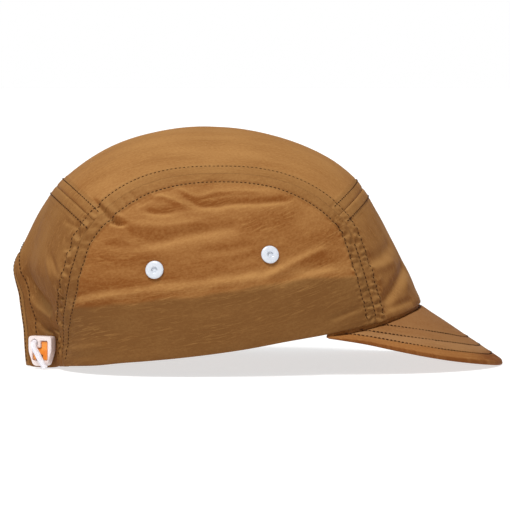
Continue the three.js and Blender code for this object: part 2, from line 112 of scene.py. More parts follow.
# Folds and creases on the wearer's right: half the width, the height, which is below 0 for a
# valley, and the pixels of the photograph that they run through. A flank that faces down is dark.
FOLDS = [
    (1.2, -3, [(94, 201), (102, 209.5), (108.5, 217), (114, 221), (124, 224)]),
    (1.6, 0.9, [(104, 205), (113, 213), (124, 219)]),
    (0.9, -1, [(128, 189), (132, 195), (138, 203)]),
    (0.9, -0.9, [(119, 194), (123, 200), (127, 207)]),
    (0.9, 0.7, [(142, 186), (148, 191), (154, 197)]),
    (0.9, -0.8, [(109, 198), (114, 206), (118, 213)]),
    (2.4, 0.55, [(128, 224), (145, 226), (173, 226), (206, 222)]),
    (3, -0.8, [(122, 233), (150, 239), (175, 236), (206, 231), (240, 226)]),
    (1.4, 0.7, [(152, 196), (163, 197), (175, 202), (187, 207)]),
    (1.6, -0.9, [(142, 210), (160, 212.5), (178, 211.5)]),
    (1, -0.3, [(135, 207), (146, 201), (156, 197)]),
    (1.4, 0.5, [(172.8, 190.6), (179.4, 190), (187, 194), (195, 197.5), (204, 196.5),
                (217, 193), (240, 192), (262, 193)]),
    (2, -1.1, [(181, 195), (190, 199.5), (201, 205.5), (214, 206), (228, 203.5),
                (255, 202.5), (290, 200)]),
    (2.5, -0.45, [(103, 246), (140, 245), (177, 239)]),
    (2.2, -0.4, [(200, 252), (228, 250), (255, 245)]),
    (2, -0.35, [(225, 264), (245, 259), (262, 252)]),
    (1.8, 0.7, [(262, 279), (280, 271), (296, 262.5), (314, 254), (327, 249)]),
    (2.5, -0.6, [(272, 286), (300, 274.5), (330, 264)]),
    (2, 0.35, [(300, 277), (337, 272)]),
    (2.2, 0.6, [(72, 305), (96, 300), (127, 295), (165, 290), (200, 286), (230, 282),
                (260, 278)]),
    (2, 0.5, [(70, 352), (90, 348.5), (108, 345.5)]),
    (2, -0.3, [(71, 359), (97, 357)]),
    (1.5, -0.5, [(330, 320), (345, 314), (362, 307)]),
    (3.4, -0.9, [(366, 261), (376, 258), (385, 252), (391, 243)]),
    (2.4, 0.65, [(370, 271), (381, 267), (389, 263.5), (395, 261)]),
    (3.1, -1.6, [(404, 266), (401.5, 274), (397.5, 283), (391, 294), (384, 305)]),
    (2.4, 0.7, [(377, 274), (382, 285)]),
    (3, 0.4, [(407, 279), (404, 292)]),
    (2, -0.7, [(384, 310), (397, 306), (413, 300)]),
    (4.6, -3.5, [(23, 268), (31, 284), (41, 297), (51, 307)]),
    (1.8, 1.1, [(27, 294), (35, 305), (44, 313), (53, 321)]),
    (0.9, -1.4, [(64, 248.5), (70, 250.5), (76, 252.5)]),
    (0.9, -1.3, [(62.5, 261), (67, 263), (71, 265)]),
    (0.9, -1.4, [(61, 270), (65, 275), (69, 281)]),
    (0.9, -1.4, [(57.5, 294), (62, 297.5), (66, 302)]),
    (0.9, -1.2, [(55, 315), (62, 320)]),
    (0.9, -1.4, [(52, 328.5), (58, 331), (64, 335)]),
    (0.9, -1.2, [(56, 342), (63, 345)]),
    (1.3, -0.8, [(51, 254), (53.5, 264), (58, 277)]),
    (1.6, 0.6, [(46, 258), (49, 272), (54, 287)]),
    (1.4, -1.1, [(32, 314), (38, 322), (45, 329), (54, 334)]),
    (2, 0.4, [(38, 312), (44, 320), (53, 326)]),
    (1, -0.5, [(64.7, 219), (69, 223.5), (73.6, 227)]),
    (1.2, -0.5, [(77, 231), (83, 235)]),
    (1, -0.4, [(64.7, 238), (68, 246)]),
]


def smooth_curve(rows):
    """The curve through a table's rows that never swings past them."""
    x, y = np.array(rows, float).T
    step = np.diff(y) / np.diff(x)
    slope = np.concatenate([step[:1], np.zeros(len(x) - 2), step[-1:]])
    same = step[:-1] * step[1:] > 0
    slope[1:-1][same] = 2 / (1 / step[:-1][same] + 1 / step[1:][same])

    def curve(at):
        i = np.clip(np.searchsorted(x, at, side="right") - 1, 0, len(x) - 2)
        width = x[i + 1] - x[i]
        t = (at - x[i]) / width
        return (
            (2 * t**3 - 3 * t**2 + 1) * y[i]
            + (t**3 - 2 * t**2 + t) * width * slope[i]
            + (3 * t**2 - 2 * t**3) * y[i + 1]
            + (t**3 - t**2) * width * slope[i + 1]
        )

    return curve


def reach_by_rise(outline):
    return smooth_curve([(math.atan2(up, out), math.hypot(out, up)) for out, up in outline])


front_reach = reach_by_rise(FRONT_OUTLINE)
back_reach = reach_by_rise(BACK_OUTLINE)
side_reach = reach_by_rise(SIDE_OUTLINE)
beak_out = smooth_curve(BEAK_OUT)
rim_up = smooth_curve(RIM)
arch_across = smooth_curve(ARCH)


def mix(a, b, t):
    return a + (b - a) * t


def soft_step(start, end, x):
    t = np.clip((x - start) / (end - start), 0, 1)
    return t * t * (3 - 2 * t)


def bell(distance, width):
    """A smooth hill: 1 at no distance, and under 0.4 from its width on."""
    return np.exp(-((distance / width) ** 2))


def unit(vectors):
    return vectors / np.linalg.norm(vectors, axis=-1, keepdims=True)


def stacked(*parts):
    return np.stack(np.broadcast_arrays(*parts), -1)


def from_angles(azimuth, elevation):
    """The direction towards a camera or light, azimuth 0 looking along +Y and 90 along -X."""
    a, e = azimuth * DEG, elevation * DEG
    return np.array([math.sin(a) * math.cos(e), -math.cos(a) * math.cos(e), math.sin(e)])


CAMERA_BACK = from_angles(CAMERA_AZIMUTH, CAMERA_ELEVATION)
CAMERA_PLACE = np.array(CAMERA_TARGET) + CAMERA_BACK * CAMERA_DISTANCE


def picture_axes():
    """Unit vectors to the right of the picture and up it."""
    right = unit(np.cross(-CAMERA_BACK, [0, 0, 1]))
    return right, np.cross(right, -CAMERA_BACK)


def seam_direction(along, across):
    """Unit directions by the angles along and across, across positive on the wearer's right."""
    a, b = np.asarray(along) * DEG, np.asarray(across) * DEG
    return stacked(-np.sin(b), -np.cos(b) * np.cos(a), np.cos(b) * np.sin(a))


def compass_direction(azimuth, rise):
    """Unit directions by azimuth from the front and rise from the floor, in degrees."""
    a, r = np.asarray(azimuth) * DEG, np.asarray(rise) * DEG
    return stacked(-np.sin(a) * np.cos(r), -np.cos(a) * np.cos(r), np.sin(r))


def crown_reach(direction):
    """How far the smooth crown is in each direction."""
    rise = np.arcsin(np.clip(direction[..., 2], -1, 1))
    level = np.maximum(np.hypot(direction[..., 0], direction[..., 1]), 1e-9)
    to_side = np.abs(direction[..., 0]) / level
    to_front = -direction[..., 1] / level
    is_front = to_front > 0
    beak = np.where(is_front, 0, beak_out(rise / DEG))
    lengthwise = np.where(is_front, front_reach(rise), back_reach(rise) - beak)
    squareness = np.where(is_front, FRONT_SQUARENESS, BACK_SQUARENESS)
    power = 2 + squareness * np.cos(rise) ** 2
    total = (np.abs(to_front) / lengthwise) ** power + (to_side / side_reach(rise)) ** power
    beyond = np.maximum(0, lengthwise * to_side - BEAK_FLAT)
    return total ** (-1 / power) + beak * bell(beyond, BEAK_SPREAD)


def placed(direction, reach):
    """Points at distances along directions."""
    return direction * reach[..., None]


def smooth_point(direction):
    return placed(direction, crown_reach(direction))


def over_rim(points):
    """Height of points above the crown's lower edge."""
    return points[..., 2] - rim_up(-points[..., 1])


def solve(low, high, too_high):
    """The values between low and high where a test turns true, halving the stretch each time."""
    for _ in range(40):
        middle = (low + high) / 2
        above = too_high(middle)
        low, high = np.where(above, low, middle), np.where(above, middle, high)
    return low


def rise_above(azimuth, height):
    """Rise at which the crown, at an azimuth, is a height above its lower edge."""
    return solve(-8, 60, lambda rise: over_rim(
        smooth_point(compass_direction(azimuth, rise))) > height)


def arc_lengths(line):
    return np.concatenate([[0], np.cumsum(np.linalg.norm(np.diff(line, axis=0), axis=1))])


def at_runs(values, run, at):
    """Rows of values, given at distances along a line, read off at other distances."""
    return np.stack([np.interp(at, run, column) for column in values.T], -1)


def resampled(line, count):
    """The same line with its points evenly spaced."""
    run = arc_lengths(line)
    return at_runs(line, run, np.linspace(0, run[-1], count))


def rows_between(first, last, count):
    """A grid of points from one line to another."""
    return mix(first, last, np.linspace(0, 1, count)[:, None, None])


def nearest_on(line, points, at_once=3000):
    """Distance from each point to a line, and how far along the line the nearest place is. The
    points are measured some at once, which keeps the memory small."""
    a, step = line[:-1], np.diff(line, axis=0)
    long = (step**2).sum(1)
    run = arc_lengths(line)
    distance, place = np.empty(len(points)), np.empty(len(points))
    for i in range(0, len(points), at_once):
        chunk = slice(i, i + at_once)
        part = points[chunk, None] - a
        t = np.clip((part * step).sum(-1) / long, 0, 1)
        gap = np.linalg.norm(part - t[..., None] * step, axis=-1)
        best = gap.argmin(1)
        rows = np.arange(len(best))
        distance[chunk] = gap[rows, best]
        place[chunk] = run[best] + t[rows, best] * np.sqrt(long[best])
    return distance, place


def noise_at(*place):
    """Fixed smooth noise by three coordinates, lists or single numbers."""
    return np.array([noise.noise(point) for point in stacked(*place).tolist()])


# Seams. The rows of stitches lie either side of the seam on a band of doubled cloth.
ROW_OFFSET = 5.6
CROSS_ROW_OFFSET = 4.6
ROW_GROOVE = 0.3
ROW_WIDTH = 0.55
SEAM_GROOVE = 0.35
SEAM_WIDTH = 0.5
SEAM_SHOWS = (80, 60)  # the heights between which the groove of an arch seam fades out upwards
SEAM_NEAR = 14  # how far out a seam shapes the cloth
SEAM_FREE = 3  # how far from its line the cloth's own crinkles and folds are whole again
BAND_EDGE = 6.6
BAND_SOFT = 0.5
BAND_LIFT = 0.28
ALLOWANCE = 0.4  # how much thicker the doubled cloth is
FOLDS_ON_BAND = 0.5  # how much lower folds are there
CRINKLES_ON_BAND = 0.55  # and how much lower crinkles are
# The doubled band has none of the painted glow of light through a single layer.
SEAM_GLOW_BLOCKED = (0.8, 0.45)  # how much darker that band looks low on the cap and over the top
SEAM_GLOW_BLOCKED_FADES = (60, 90)

# Puckers across the arch seams: how far apart and how high they are in front and behind, where
# the side panel's own are low, and the heights between which they begin and end.
PUCKER_PITCH = {"front": 3.4, "back": 5.8}
PUCKER_HEIGHT = {"front": 0.65, "back": 1.35, "side_at_back": 0.35}
PUCKER_LOW = (2, 12)
PUCKER_HIGH = (82, 66)
PUCKER_REACH = 5
PUCKER_FADES = 2.4

# The crinkles pressed into the cloth: each kind's size along and across its run and its place in
# the noise, and their heights.
CRINKLE_SIZES = [(17, 2.6, 0), (30, 6.5, 5), (60, 22, 9)]
FINE_HIGH = 0.07
MEDIUM_HIGH = 0.2
BROAD_HIGH = 0.5
CREST = 0.4  # the noise above which a fine crinkle is sunk and not raised
SIDE_RADIUS = 90  # the crown's rough radius there, which turns angles into millimetres
TOP_RADIUS = 100
SIDES_APART = 20  # how far apart in the noise the two side panels are
TOP_SLANT = (0.1, 0.04)  # how far the other panels' crinkles lean
STREAK_TILT = 12  # degrees that the side's crinkles rise towards the front
END_CRINKLES = 1.5  # how much more often they follow each other on the end panels

# The sweatband's upper edge, as it shows on the side panels.
BAND_SHOWS = 0.25  # how far it pushes the cloth out
BAND_BLUR = 1.3
BAND_WANDER = 16  # the stretch over which it wanders up and down by a millimetre
BAND_DIPS = 4  # how much lower it shows towards the front
BAND_DIP_FROM = (-35, -62)

EDGE_ROUND = CLOTH / 2  # the height from which the cloth's lower edge is folded round
EDGE_TURNED = 0.2  # how far that edge is drawn in
EDGE_HIGH = 3  # and below which height
EDGE_CALM = (-1, 4)  # the heights between which crinkles begin above it
FOLD_TAPER = (-2, 5)  # how far along a fold from its ends it rises, so that its ends show
FOLDS_ASIDE = (2, 10)  # how far from the cap's middle line the folds rise
SNAP_PRESSED = (4, 8)  # how far from a snap's middle the pressed cloth rises

# How much painted shade the cloth has, from 0 to 1: it goes from its lit colour towards a shaded
# copy where it faces away from the light above.
PAINTED_SHADE_LEVEL = 0.15  # where it faces up
PAINTED_SHADE_SIDE = 0.08  # added on the side panels
PAINTED_SHADE_STEEP = 0.75  # added where it stands upright
PAINTED_SHADE_FOLDS = 1.45  # added where a fold turns it down, and taken off where one turns it up
BAND_HIGHLIGHT = 0.6  # a painted highlight, taken off in a stretch just above the sweatband
BAND_HIGHLIGHT_ABOVE = 3.5  # the middle and half width of that stretch above the band's edge
BAND_HIGHLIGHT_FADES = 0.6  # how much of that is lost towards the front


def between_arches(along, aside):
    """Unit directions by the angle along, aside going from one arch seam at -1 to the other."""
    return seam_direction(along, aside * arch_across(along))


def arch_over_rim(along, aside=1):
    return over_rim(smooth_point(between_arches(along, aside)))


arch_ends = (
    float(solve(10, 30, lambda along: arch_over_rim(along) > EDGE_ROUND)),
    float(solve(170, 180, lambda along: arch_over_rim(along) < EDGE_ROUND)),
)


def arch_line(side, start=arch_ends[0], end=arch_ends[1], count=330):
    return smooth_point(between_arches(np.linspace(start, end, count), side))


def cross_along(seam):
    """The angle along of a cross seam, by how far aside it is."""
    return lambda aside: mix(*seam, aside**2)


def cross_line(seam):
    aside = np.linspace(-1, 1, 160)
    return smooth_point(between_arches(cross_along(seam)(aside), aside))


SEAMS = {
    "arch_right": arch_line(1),
    "arch_left": arch_line(-1),
    "front_cross": cross_line(FRONT_SEAM),
    "back_cross": cross_line(BACK_SEAM),
}
MIDDLE_SEAMS = list(SEAMS)  # the panels between the two sides meet them all


def on_crown(pixels):
    """The crown's points that show at pixels of the photograph."""
    x, y = (np.array(pixels, float) - PHOTO_PIXELS / 2).T * PHOTO_WIDTH / PHOTO_PIXELS
    right, up = picture_axes()
    aim = CAMERA_TARGET + np.outer(x, right) - np.outer(y, up)
    ray = unit(aim - CAMERA_PLACE)

    def inside(run):
        points = CAMERA_PLACE + ray * run[:, None]
        return np.linalg.norm(points, axis=1) < crown_reach(unit(points))

    to_middle = -CAMERA_PLACE[0] / ray[:, 0]
    near = CAMERA_PLACE + ray * solve(to_middle - 150, to_middle, inside)[:, None]
    return smooth_point(unit(near))


def smooth_line(places, steps=8):
    """A smooth line through points, with steps to each stretch between two."""
    known = np.arange(len(places), dtype=float)
    at = np.linspace(0, len(places) - 1, steps * (len(places) - 1) + 1)
    return np.stack([smooth_curve(np.stack([known, values], -1))(at) for values in places.T], -1)


FOLD_LINES = [(smooth_line(on_crown(pixels)), width, height) for width, height, pixels in FOLDS]
SNAPS = {"rear": (123.7, 51.6), "front": (70.6, 51.4)}  # each snap's angles along and across


def on_right(points):
    """Points mirrored to the wearer's right."""
    return stacked(-np.abs(points[:, 0]), points[:, 1], points[:, 2])


def away_from_snaps(points):
    """0 under a snap, where the cloth is pressed flat, and 1 well away from it."""
    share = np.ones(len(points))
    for along, across in SNAPS.values():
        middle = smooth_point(seam_direction(along, across))
        share *= soft_step(*SNAP_PRESSED, np.linalg.norm(on_right(points) - middle, axis=1))
    return share


def folds(points):
    """Height of the folds and creases, alike on both sides of the cap."""
    mirrored = on_right(points)
    total = np.zeros(len(points))
    for line, width, height in FOLD_LINES:
        distance, place = nearest_on(line, mirrored)
        end = np.minimum(place, arc_lengths(line)[-1] - place)
        total += height * soft_step(*FOLD_TAPER, end) * bell(distance, width)
    return total * soft_step(*FOLDS_ASIDE, np.abs(points[:, 0]))


def seam_relief(points, seams, is_side):
    """Height of the seams' bands, grooves and puckers, how far a point is in a band, and how far
    it is free of the seam line itself, from 0 to 1."""
    band = np.zeros(len(points))
    free = np.ones(len(points))
    height = np.zeros(len(points))
    for name in seams:
        line = SEAMS[name]
        near = np.flatnonzero(nearest_on(line[::12], points)[0] < SEAM_NEAR)
        distance, place = nearest_on(line, points[near])
        in_band = soft_step(BAND_EDGE + BAND_SOFT, BAND_EDGE - BAND_SOFT, distance)
        band[near] = np.maximum(band[near], in_band)
        free[near] = np.minimum(free[near], soft_step(0, SEAM_FREE, distance))
        height[near] -= ROW_GROOVE * bell(distance - ROW_OFFSET, ROW_WIDTH)
        crossed = soft_step(*SEAM_SHOWS, points[near, 2]) if "arch" in name else 1
        height[near] -= SEAM_GROOVE * crossed * bell(distance, SEAM_WIDTH)
        if "arch" in name:
            height[near] += puckers(points[near], distance, place, is_side)
    return height + BAND_LIFT * band, band, free


def puckers(points, distance, place, is_side):
    """Short ridges across the arch seam, strongest low on the cap, that die away beyond the
    stitches. At the back the seam is drawn up on the back panel's side alone."""
    in_front = points[:, 1] < 0
    at_back = PUCKER_HEIGHT["side_at_back" if is_side else "back"]
    drawn = np.where(in_front, PUCKER_HEIGHT["front"], at_back)
    drawn *= soft_step(*PUCKER_HIGH, points[:, 2]) * soft_step(*PUCKER_LOW, points[:, 2])
    pitch = np.where(in_front, PUCKER_PITCH["front"], PUCKER_PITCH["back"])
    side = points[:, 0]
    wander = noise_at(place / 8, distance / 7, side / 40)
    strength = 0.3 + 1.3 * np.abs(noise_at(place / 6, side / 30, distance / 6))
    wave = np.cos(2 * math.pi * (place + 0.25 * distance) / pitch + 6 * wander)
    blobs = noise_at(place * 1.9 / pitch, distance / 2.6, 30 + side / 40)
    reach = bell(np.maximum(0, distance - PUCKER_REACH), PUCKER_FADES)
    reach *= soft_step(0, 1.5, distance)
    return drawn * reach * (0.6 * strength * (wave - 0.3) + 1.1 * blobs)


def crinkle(grain):
    """Height of the crinkles pressed into the cloth, by millimetres along and across their run."""
    along, across, which = grain.T
    fine, medium, broad = [noise_at(along / long, across / wide, which + place)
                           for long, wide, place in CRINKLE_SIZES]
    ridges = FINE_HIGH * (CREST - np.abs(fine))
    return ridges + MEDIUM_HIGH * medium + BROAD_HIGH * broad


def to_frame(points):
    """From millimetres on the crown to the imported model's metres."""
    return (points + np.array([0, BACKWARD, 0])) * MM


def added(name, data):
    """An object made of some data, in the scene."""
    made = bpy.data.objects.new(name, data)
    bpy.context.scene.collection.objects.link(made)
    return made


def look_along(holder, direction):
    """Turns a camera or a lamp to look along a direction."""
    holder.rotation_mode = "QUATERNION"
    holder.rotation_quaternion = Vector(direction).to_track_quat("-Z", "Y")


def mesh_piece(name, points, faces, material, nodes=(), attributes=None, square=None):
    """A smooth mesh from points in millimetres, riding on the cap, with its square walls flat."""
    mesh = bpy.data.meshes.new(name)
    mesh.from_pydata(to_frame(points).tolist(), [], [list(face) for face in faces])
    smooth = np.ones(len(mesh.polygons), bool) if square is None else ~square
    mesh.polygons.foreach_set("use_smooth", smooth)
    for key, values in (attributes or {}).items():
        if values.ndim == 2:
            made = mesh.attributes.new(key, "FLOAT_VECTOR", "POINT")
            made.data.foreach_set("vector", (values * MM).astype(np.float32).ravel())
        else:
            made = mesh.attributes.new(key, "FLOAT", "POINT")
            made.data.foreach_set("value", values.astype(np.float32))
    mesh.materials.append(material)
    mesh.update()
    piece = added(name, mesh)
    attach(piece, "root")
    if nodes:
        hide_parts(*nodes)
    return piece


def grid_faces(rows, columns, start=0):
    i, j = np.meshgrid(np.arange(rows - 1), np.arange(columns - 1), indexing="ij")
    a = (start + i * columns + j).ravel()
    return np.stack([a, a + 1, a + columns + 1, a + columns], 1)


def border_of(rows, columns):
    """Indices of a grid's outer points in order round it."""
    index = np.arange(rows * columns).reshape(rows, columns)
    return np.concatenate([index[0, :-1], index[:-1, -1], index[-1, :0:-1], index[:0:-1, 0]])


def inward_of(rows, columns):
    """For each of those, the index of the next point into the grid."""
    i, j = np.divmod(border_of(rows, columns), columns)
    return np.clip(i, 1, rows - 2) * columns + np.clip(j, 1, columns - 2)


def shell(outer, inner, rounded):
    """Points and faces of a closed sheet between two grids of points, its border rounded by an
    amount from 0 to 1, the faces that are square walls, and for each point the index of the grid
    point that it comes from."""
    rows, columns = outer.shape[:2]
    count = rows * columns
    out, into = outer.reshape(-1, 3), inner.reshape(-1, 3)
    border, inward = border_of(rows, columns), inward_of(rows, columns)
    half = (out[border] - into[border]) / 2
    beyond = unit(out[border] - out[inward]) * np.linalg.norm(half, axis=1, keepdims=True)
    beyond *= rounded[border, None]
    rings = [out[border] - half + math.cos(turn) * half + math.sin(turn) * beyond
             for turn in np.array([45, 90, 135]) * DEG]
    around = np.arange(len(border))
    steps = [border] + [2 * count + i * len(border) + around for i in range(3)] + [border + count]
    faces = [grid_faces(rows, columns), grid_faces(rows, columns, count)[:, ::-1]]
    for a, b in zip(steps, steps[1:]):
        faces.append(np.stack([np.roll(a, -1), a, b, np.roll(b, -1)], 1))
    is_square = (rounded[border] == 0) & (rounded[np.roll(border, -1)] == 0)
    square = np.concatenate([np.zeros(2 * len(faces[0]), bool)] + 4 * [is_square])
    grid = np.arange(count)
    points, faces = facing_out(np.concatenate([out, into] + rings), np.concatenate(faces))
    return points, faces, square, np.concatenate([grid, grid, border, border, border])


def facing_out(points, faces):
    """The same mesh, with its faces turned to face out."""
    corners = points[faces]
    triangles = np.concatenate([corners[:, [0, 1, 2]], corners[:, [0, 2, 3]]])
    volume = np.einsum("ij,ij->i", triangles[:, 0], np.cross(triangles[:, 1], triangles[:, 2])).sum()
    return points, faces if volume > 0 else faces[:, ::-1]


def cloth(direction, seams, is_side):
    """The crown's cloth in flat lists of directions: its reach, grain, how far it is in a seam's
    band or on other cloth, which takes away its painted glow, and how much painted highlight it
    has just above the sweatband's upper edge."""
    smooth = smooth_point(direction)
    seam_height, band, free = seam_relief(smooth, seams, is_side)
    grain = side_streaks(direction) if is_side else lengthwise_streaks(direction)
    height = over_rim(smooth)
    in_front = soft_step(*BAND_DIP_FROM, smooth[:, 1])
    wander = noise_at(grain[:, 0] / BAND_WANDER, grain[:, 2], 0)
    from_band = height - BAND_HIGH - wander + BAND_DIPS * in_front
    on_band = is_side * soft_step(BAND_BLUR, -BAND_BLUR, from_band)
    relief = folds(smooth) * (1 - FOLDS_ON_BAND * band) + BAND_SHOWS * on_band * free
    calm = (1 - CRINKLES_ON_BAND * band) * free * soft_step(*EDGE_CALM, height)
    relief += crinkle(grain) * calm
    relief = relief * away_from_snaps(smooth) + seam_height
    relief -= EDGE_TURNED * soft_step(EDGE_HIGH, EDGE_ROUND, height)
    # Cloth behind takes away the painted glow of light through a single layer, and a dark band
    # behind also shows through.
    doubled = band * mix(*SEAM_GLOW_BLOCKED, soft_step(*SEAM_GLOW_BLOCKED_FADES, smooth[:, 2]))
    glow_blocked = np.maximum(on_band, doubled)
    # A painted highlight in a stretch just above the sweatband's upper edge, weaker towards the
    # front.
    highlight_over_band = is_side * bell(from_band - BAND_HIGHLIGHT_ABOVE, BAND_HIGHLIGHT_ABOVE) * (1 - BAND_HIGHLIGHT_FADES * in_front)
    return np.linalg.norm(smooth, axis=1) + relief, grain, band, glow_blocked, highlight_over_band


def grid_normals(grid):
    normals = unit(np.cross(np.gradient(grid, axis=0), np.gradient(grid, axis=1)))
    return normals * np.sign((normals * grid).sum(-1, keepdims=True))


def colouring(origin, glow_blocked, grain, turned):
    """What the cloth's material reads at a shell's points, from the values at its grid's."""
    count = len(grain)
    return {"glow_blocked": np.broadcast_to(glow_blocked, count)[origin], "grain": grain[origin],
            "turned": np.broadcast_to(turned, count)[origin]}


def panel(name, direction, seams, material, thick=0, is_side=False):
    """A crown panel over a grid of directions. Thick is how much of it lies on other cloth, which
    takes away its painted glow.
    """
    flat = direction.reshape(-1, 3)
    reach, grain, band, glow_blocked, highlight_over_band = cloth(flat, seams, is_side)
    outer = placed(flat, reach).reshape(direction.shape)
    inner = placed(flat, reach - CLOTH - ALLOWANCE * band).reshape(direction.shape)
    at_rim = over_rim(smooth_point(flat)) < EDGE_ROUND + 0.2
    points, faces, square, origin = shell(outer, inner, at_rim.astype(float))
    # Painted shade by how the cloth faces: more where it stands upright or a fold turns it down,
    # less where one turns it up.
    upward = grid_normals(smooth_point(direction))[..., 2].ravel()
    tilt = grid_normals(outer)[..., 2].ravel() - upward
    turned = PAINTED_SHADE_LEVEL + PAINTED_SHADE_SIDE * is_side + PAINTED_SHADE_STEEP * (1 - upward) - PAINTED_SHADE_FOLDS * tilt
    turned = np.clip(turned - BAND_HIGHLIGHT * highlight_over_band, 0, 1)
    attributes = colouring(origin, np.maximum(glow_blocked, thick), grain, turned)
    mesh_piece(name + "_cloth", points, faces, material, [name], attributes, square)


def side_streaks(direction):
    """Coordinates along and across the crinkles of a side panel, in millimetres."""
    ahead = SIDE_RADIUS * np.arctan2(-direction[:, 1], np.abs(direction[:, 0]))
    up = SIDE_RADIUS * np.arcsin(direction[:, 2])
    tilt = STREAK_TILT * DEG
    along = ahead * math.cos(tilt) + up * math.sin(tilt)
    across = up * math.cos(tilt) - ahead * math.sin(tilt)
    return stacked(along, across, np.sign(direction[:, 0]) * SIDES_APART)


def lengthwise_streaks(direction):
    """Coordinates along and across the crinkles of a panel that runs from front to back. Beyond
    the cross seams the crinkles are short."""
    across = np.arcsin(-direction[:, 0]) * TOP_RADIUS
    along = np.arctan2(direction[:, 2], -direction[:, 1]) * TOP_RADIUS
    front, back = [seam[0] * DEG * TOP_RADIUS for seam in (FRONT_SEAM, BACK_SEAM)]
    along += END_CRINKLES * (np.minimum(0, along - front) + np.maximum(0, along - back))
    return stacked(along + across * TOP_SLANT[0], across - along * TOP_SLANT[1], 0)


def middle_directions(start, end, rows, columns):
    """A grid of directions from one angle along to another, each given for the columns across
    from arch to arch."""
    aside = np.linspace(-1, 1, columns)
    along = mix(start(aside), end(aside), np.linspace(0, 1, rows)[:, None])
    return between_arches(along, aside)


def front_rim_along(aside):
    """The angle along at which the front panel begins above the crown's lower edge."""
    return solve(5, 45, lambda along: arch_over_rim(along, aside) > EDGE_ROUND)


def rim_place(azimuth):
    """Points of the crown's lower edge, where its cloth begins to turn under."""
    return smooth_point(compass_direction(azimuth, rise_above(azimuth, EDGE_ROUND)))


def azimuth_of(point):
    return math.degrees(math.atan2(-point[0], -point[1]))


def side_directions(side, rows, columns):
    """From the arch seam down to the lower edge."""
    arch = resampled(arch_line(side), columns)
    azimuth = np.linspace(azimuth_of(arch[0]), azimuth_of(arch[-1]), 3 * columns)
    return unit(rows_between(arch, resampled(rim_place(azimuth), columns), rows))


# The adjuster opening: half its width, the height of its round top, and how high its sides are
# straight.
SLIT_HALF = 6.2
SLIT_TOP = 48.5
SLIT_STRAIGHT = 30
# Its hem: how wide it is beside and above the opening, how far it stands out of the crown and
# reaches into it, and the height of its lower ends before they are rounded.
HEM_SIDE = 4.3
HEM_ABOVE = 6
HEM_PROUD = 0.5
HEM_DEEP = 2.5
HEM_FOOT = 0.5
HEM_ROUND = 0.45  # how round its fold is along the opening
HEM_LUMP = 0.12
HEM_ROW = 0.62  # the groove of its stitches and how wide that is, as shares of its width
HEM_ROW_WIDTH = 0.1
HEM_ROWS = (2.6, 8.2)  # the rows of stitches, by how far they are beside the opening
ROW_ABOVE = 1.3  # how many times as far they are above it
HEM_GLOW_BLOCKED = 0.8  # how much of it lies on other cloth, which takes away its painted glow
HEM_PAINTED_SHADE = 0.5  # and how much painted shade it has


def opening_line(beside, above, count):
    """The opening's outline on the crown, grown outwards, from the right lower end round."""
    half, top = SLIT_HALF + beside, SLIT_TOP + above
    turn = np.linspace(180, 0, 60) * DEG
    arch = SLIT_STRAIGHT + (top - SLIT_STRAIGHT) * np.sin(turn)
    upright = np.linspace(HEM_FOOT, SLIT_STRAIGHT, 20)[:-1]
    end = np.ones(len(upright))
    x = half * np.concatenate([-end, np.cos(turn), end])
    z = np.concatenate([upright, arch, upright[::-1]])
    y = solve(60, 130, lambda back: np.sqrt(x**2 + back**2 + z**2) > crown_reach(
        unit(stacked(x, back, z))))
    return resampled(np.stack([x, y, z], -1), count)


def back_directions(rows, columns):
    """Round the hem of the opening and out to the seams, from the right lower end to the left."""
    inner = opening_line(HEM_SIDE + 0.1, HEM_ABOVE + 0.1, columns)
    low = int(columns * 0.3)
    right = resampled(arch_line(1, BACK_SEAM[1], arch_ends[1])[::-1], low)
    left = resampled(arch_line(-1, BACK_SEAM[1], arch_ends[1]), low)
    over = resampled(cross_line(BACK_SEAM)[::-1], columns - 2 * low + 2)[1:-1]
    grid = rows_between(inner, np.concatenate([right, over, left]), rows)
    share = np.linspace(0, 1, columns)
    for column, fade in ((grid[:, :1], soft_step(0.15, 0, share)),
                         (grid[:, -1:], soft_step(0.85, 1, share))):
        azimuth = np.degrees(np.arctan2(-column[..., 0], -column[..., 1]))
        grid = grid + (rim_place(azimuth) - column) * fade[:, None]
    return unit(grid)


def studio_camera():
    camera = bpy.data.cameras.new("camera")
    camera.sensor_width = SENSOR
    camera.lens = SENSOR * CAMERA_DISTANCE / PHOTO_WIDTH
    holder = added("camera", camera)
    holder.location = to_frame(CAMERA_PLACE)
    look_along(holder, -CAMERA_BACK)
    bpy.context.scene.camera = holder


def srgb(code):
    """Linear RGBA of an sRGB hex colour."""
    values = [int(code[i:i + 2], 16) / 255 for i in (1, 3, 5)]
    return [v / 12.92 if v <= 0.04045 else ((v + 0.055) / 1.055) ** 2.4 for v in values] + [1]


def add_node(tree, kind, settings=None, inputs=None):
    """A node with its settings, and its inputs set to values or linked from other sockets."""
    node = tree.nodes.new(kind)
    for key, value in (settings or {}).items():
        setattr(node, key, value)
    for key, value in (inputs or {}).items():
        socket = node.inputs[key]
        if isinstance(value, bpy.types.NodeSocket):
            tree.links.new(value, socket)
        else:
            socket.default_value = value
    return node


def surface(name, **values):
    """A material with one Principled shader and the shader's own values set on it."""
    material = bpy.data.materials.new(name)
    material.use_nodes = True
    shader = material.node_tree.nodes["Principled BSDF"]
    for key, value in values.items():
        shader.inputs[key.replace("_", " ").title().replace("Ior", "IOR")].default_value = value
    return material, material.node_tree, shader


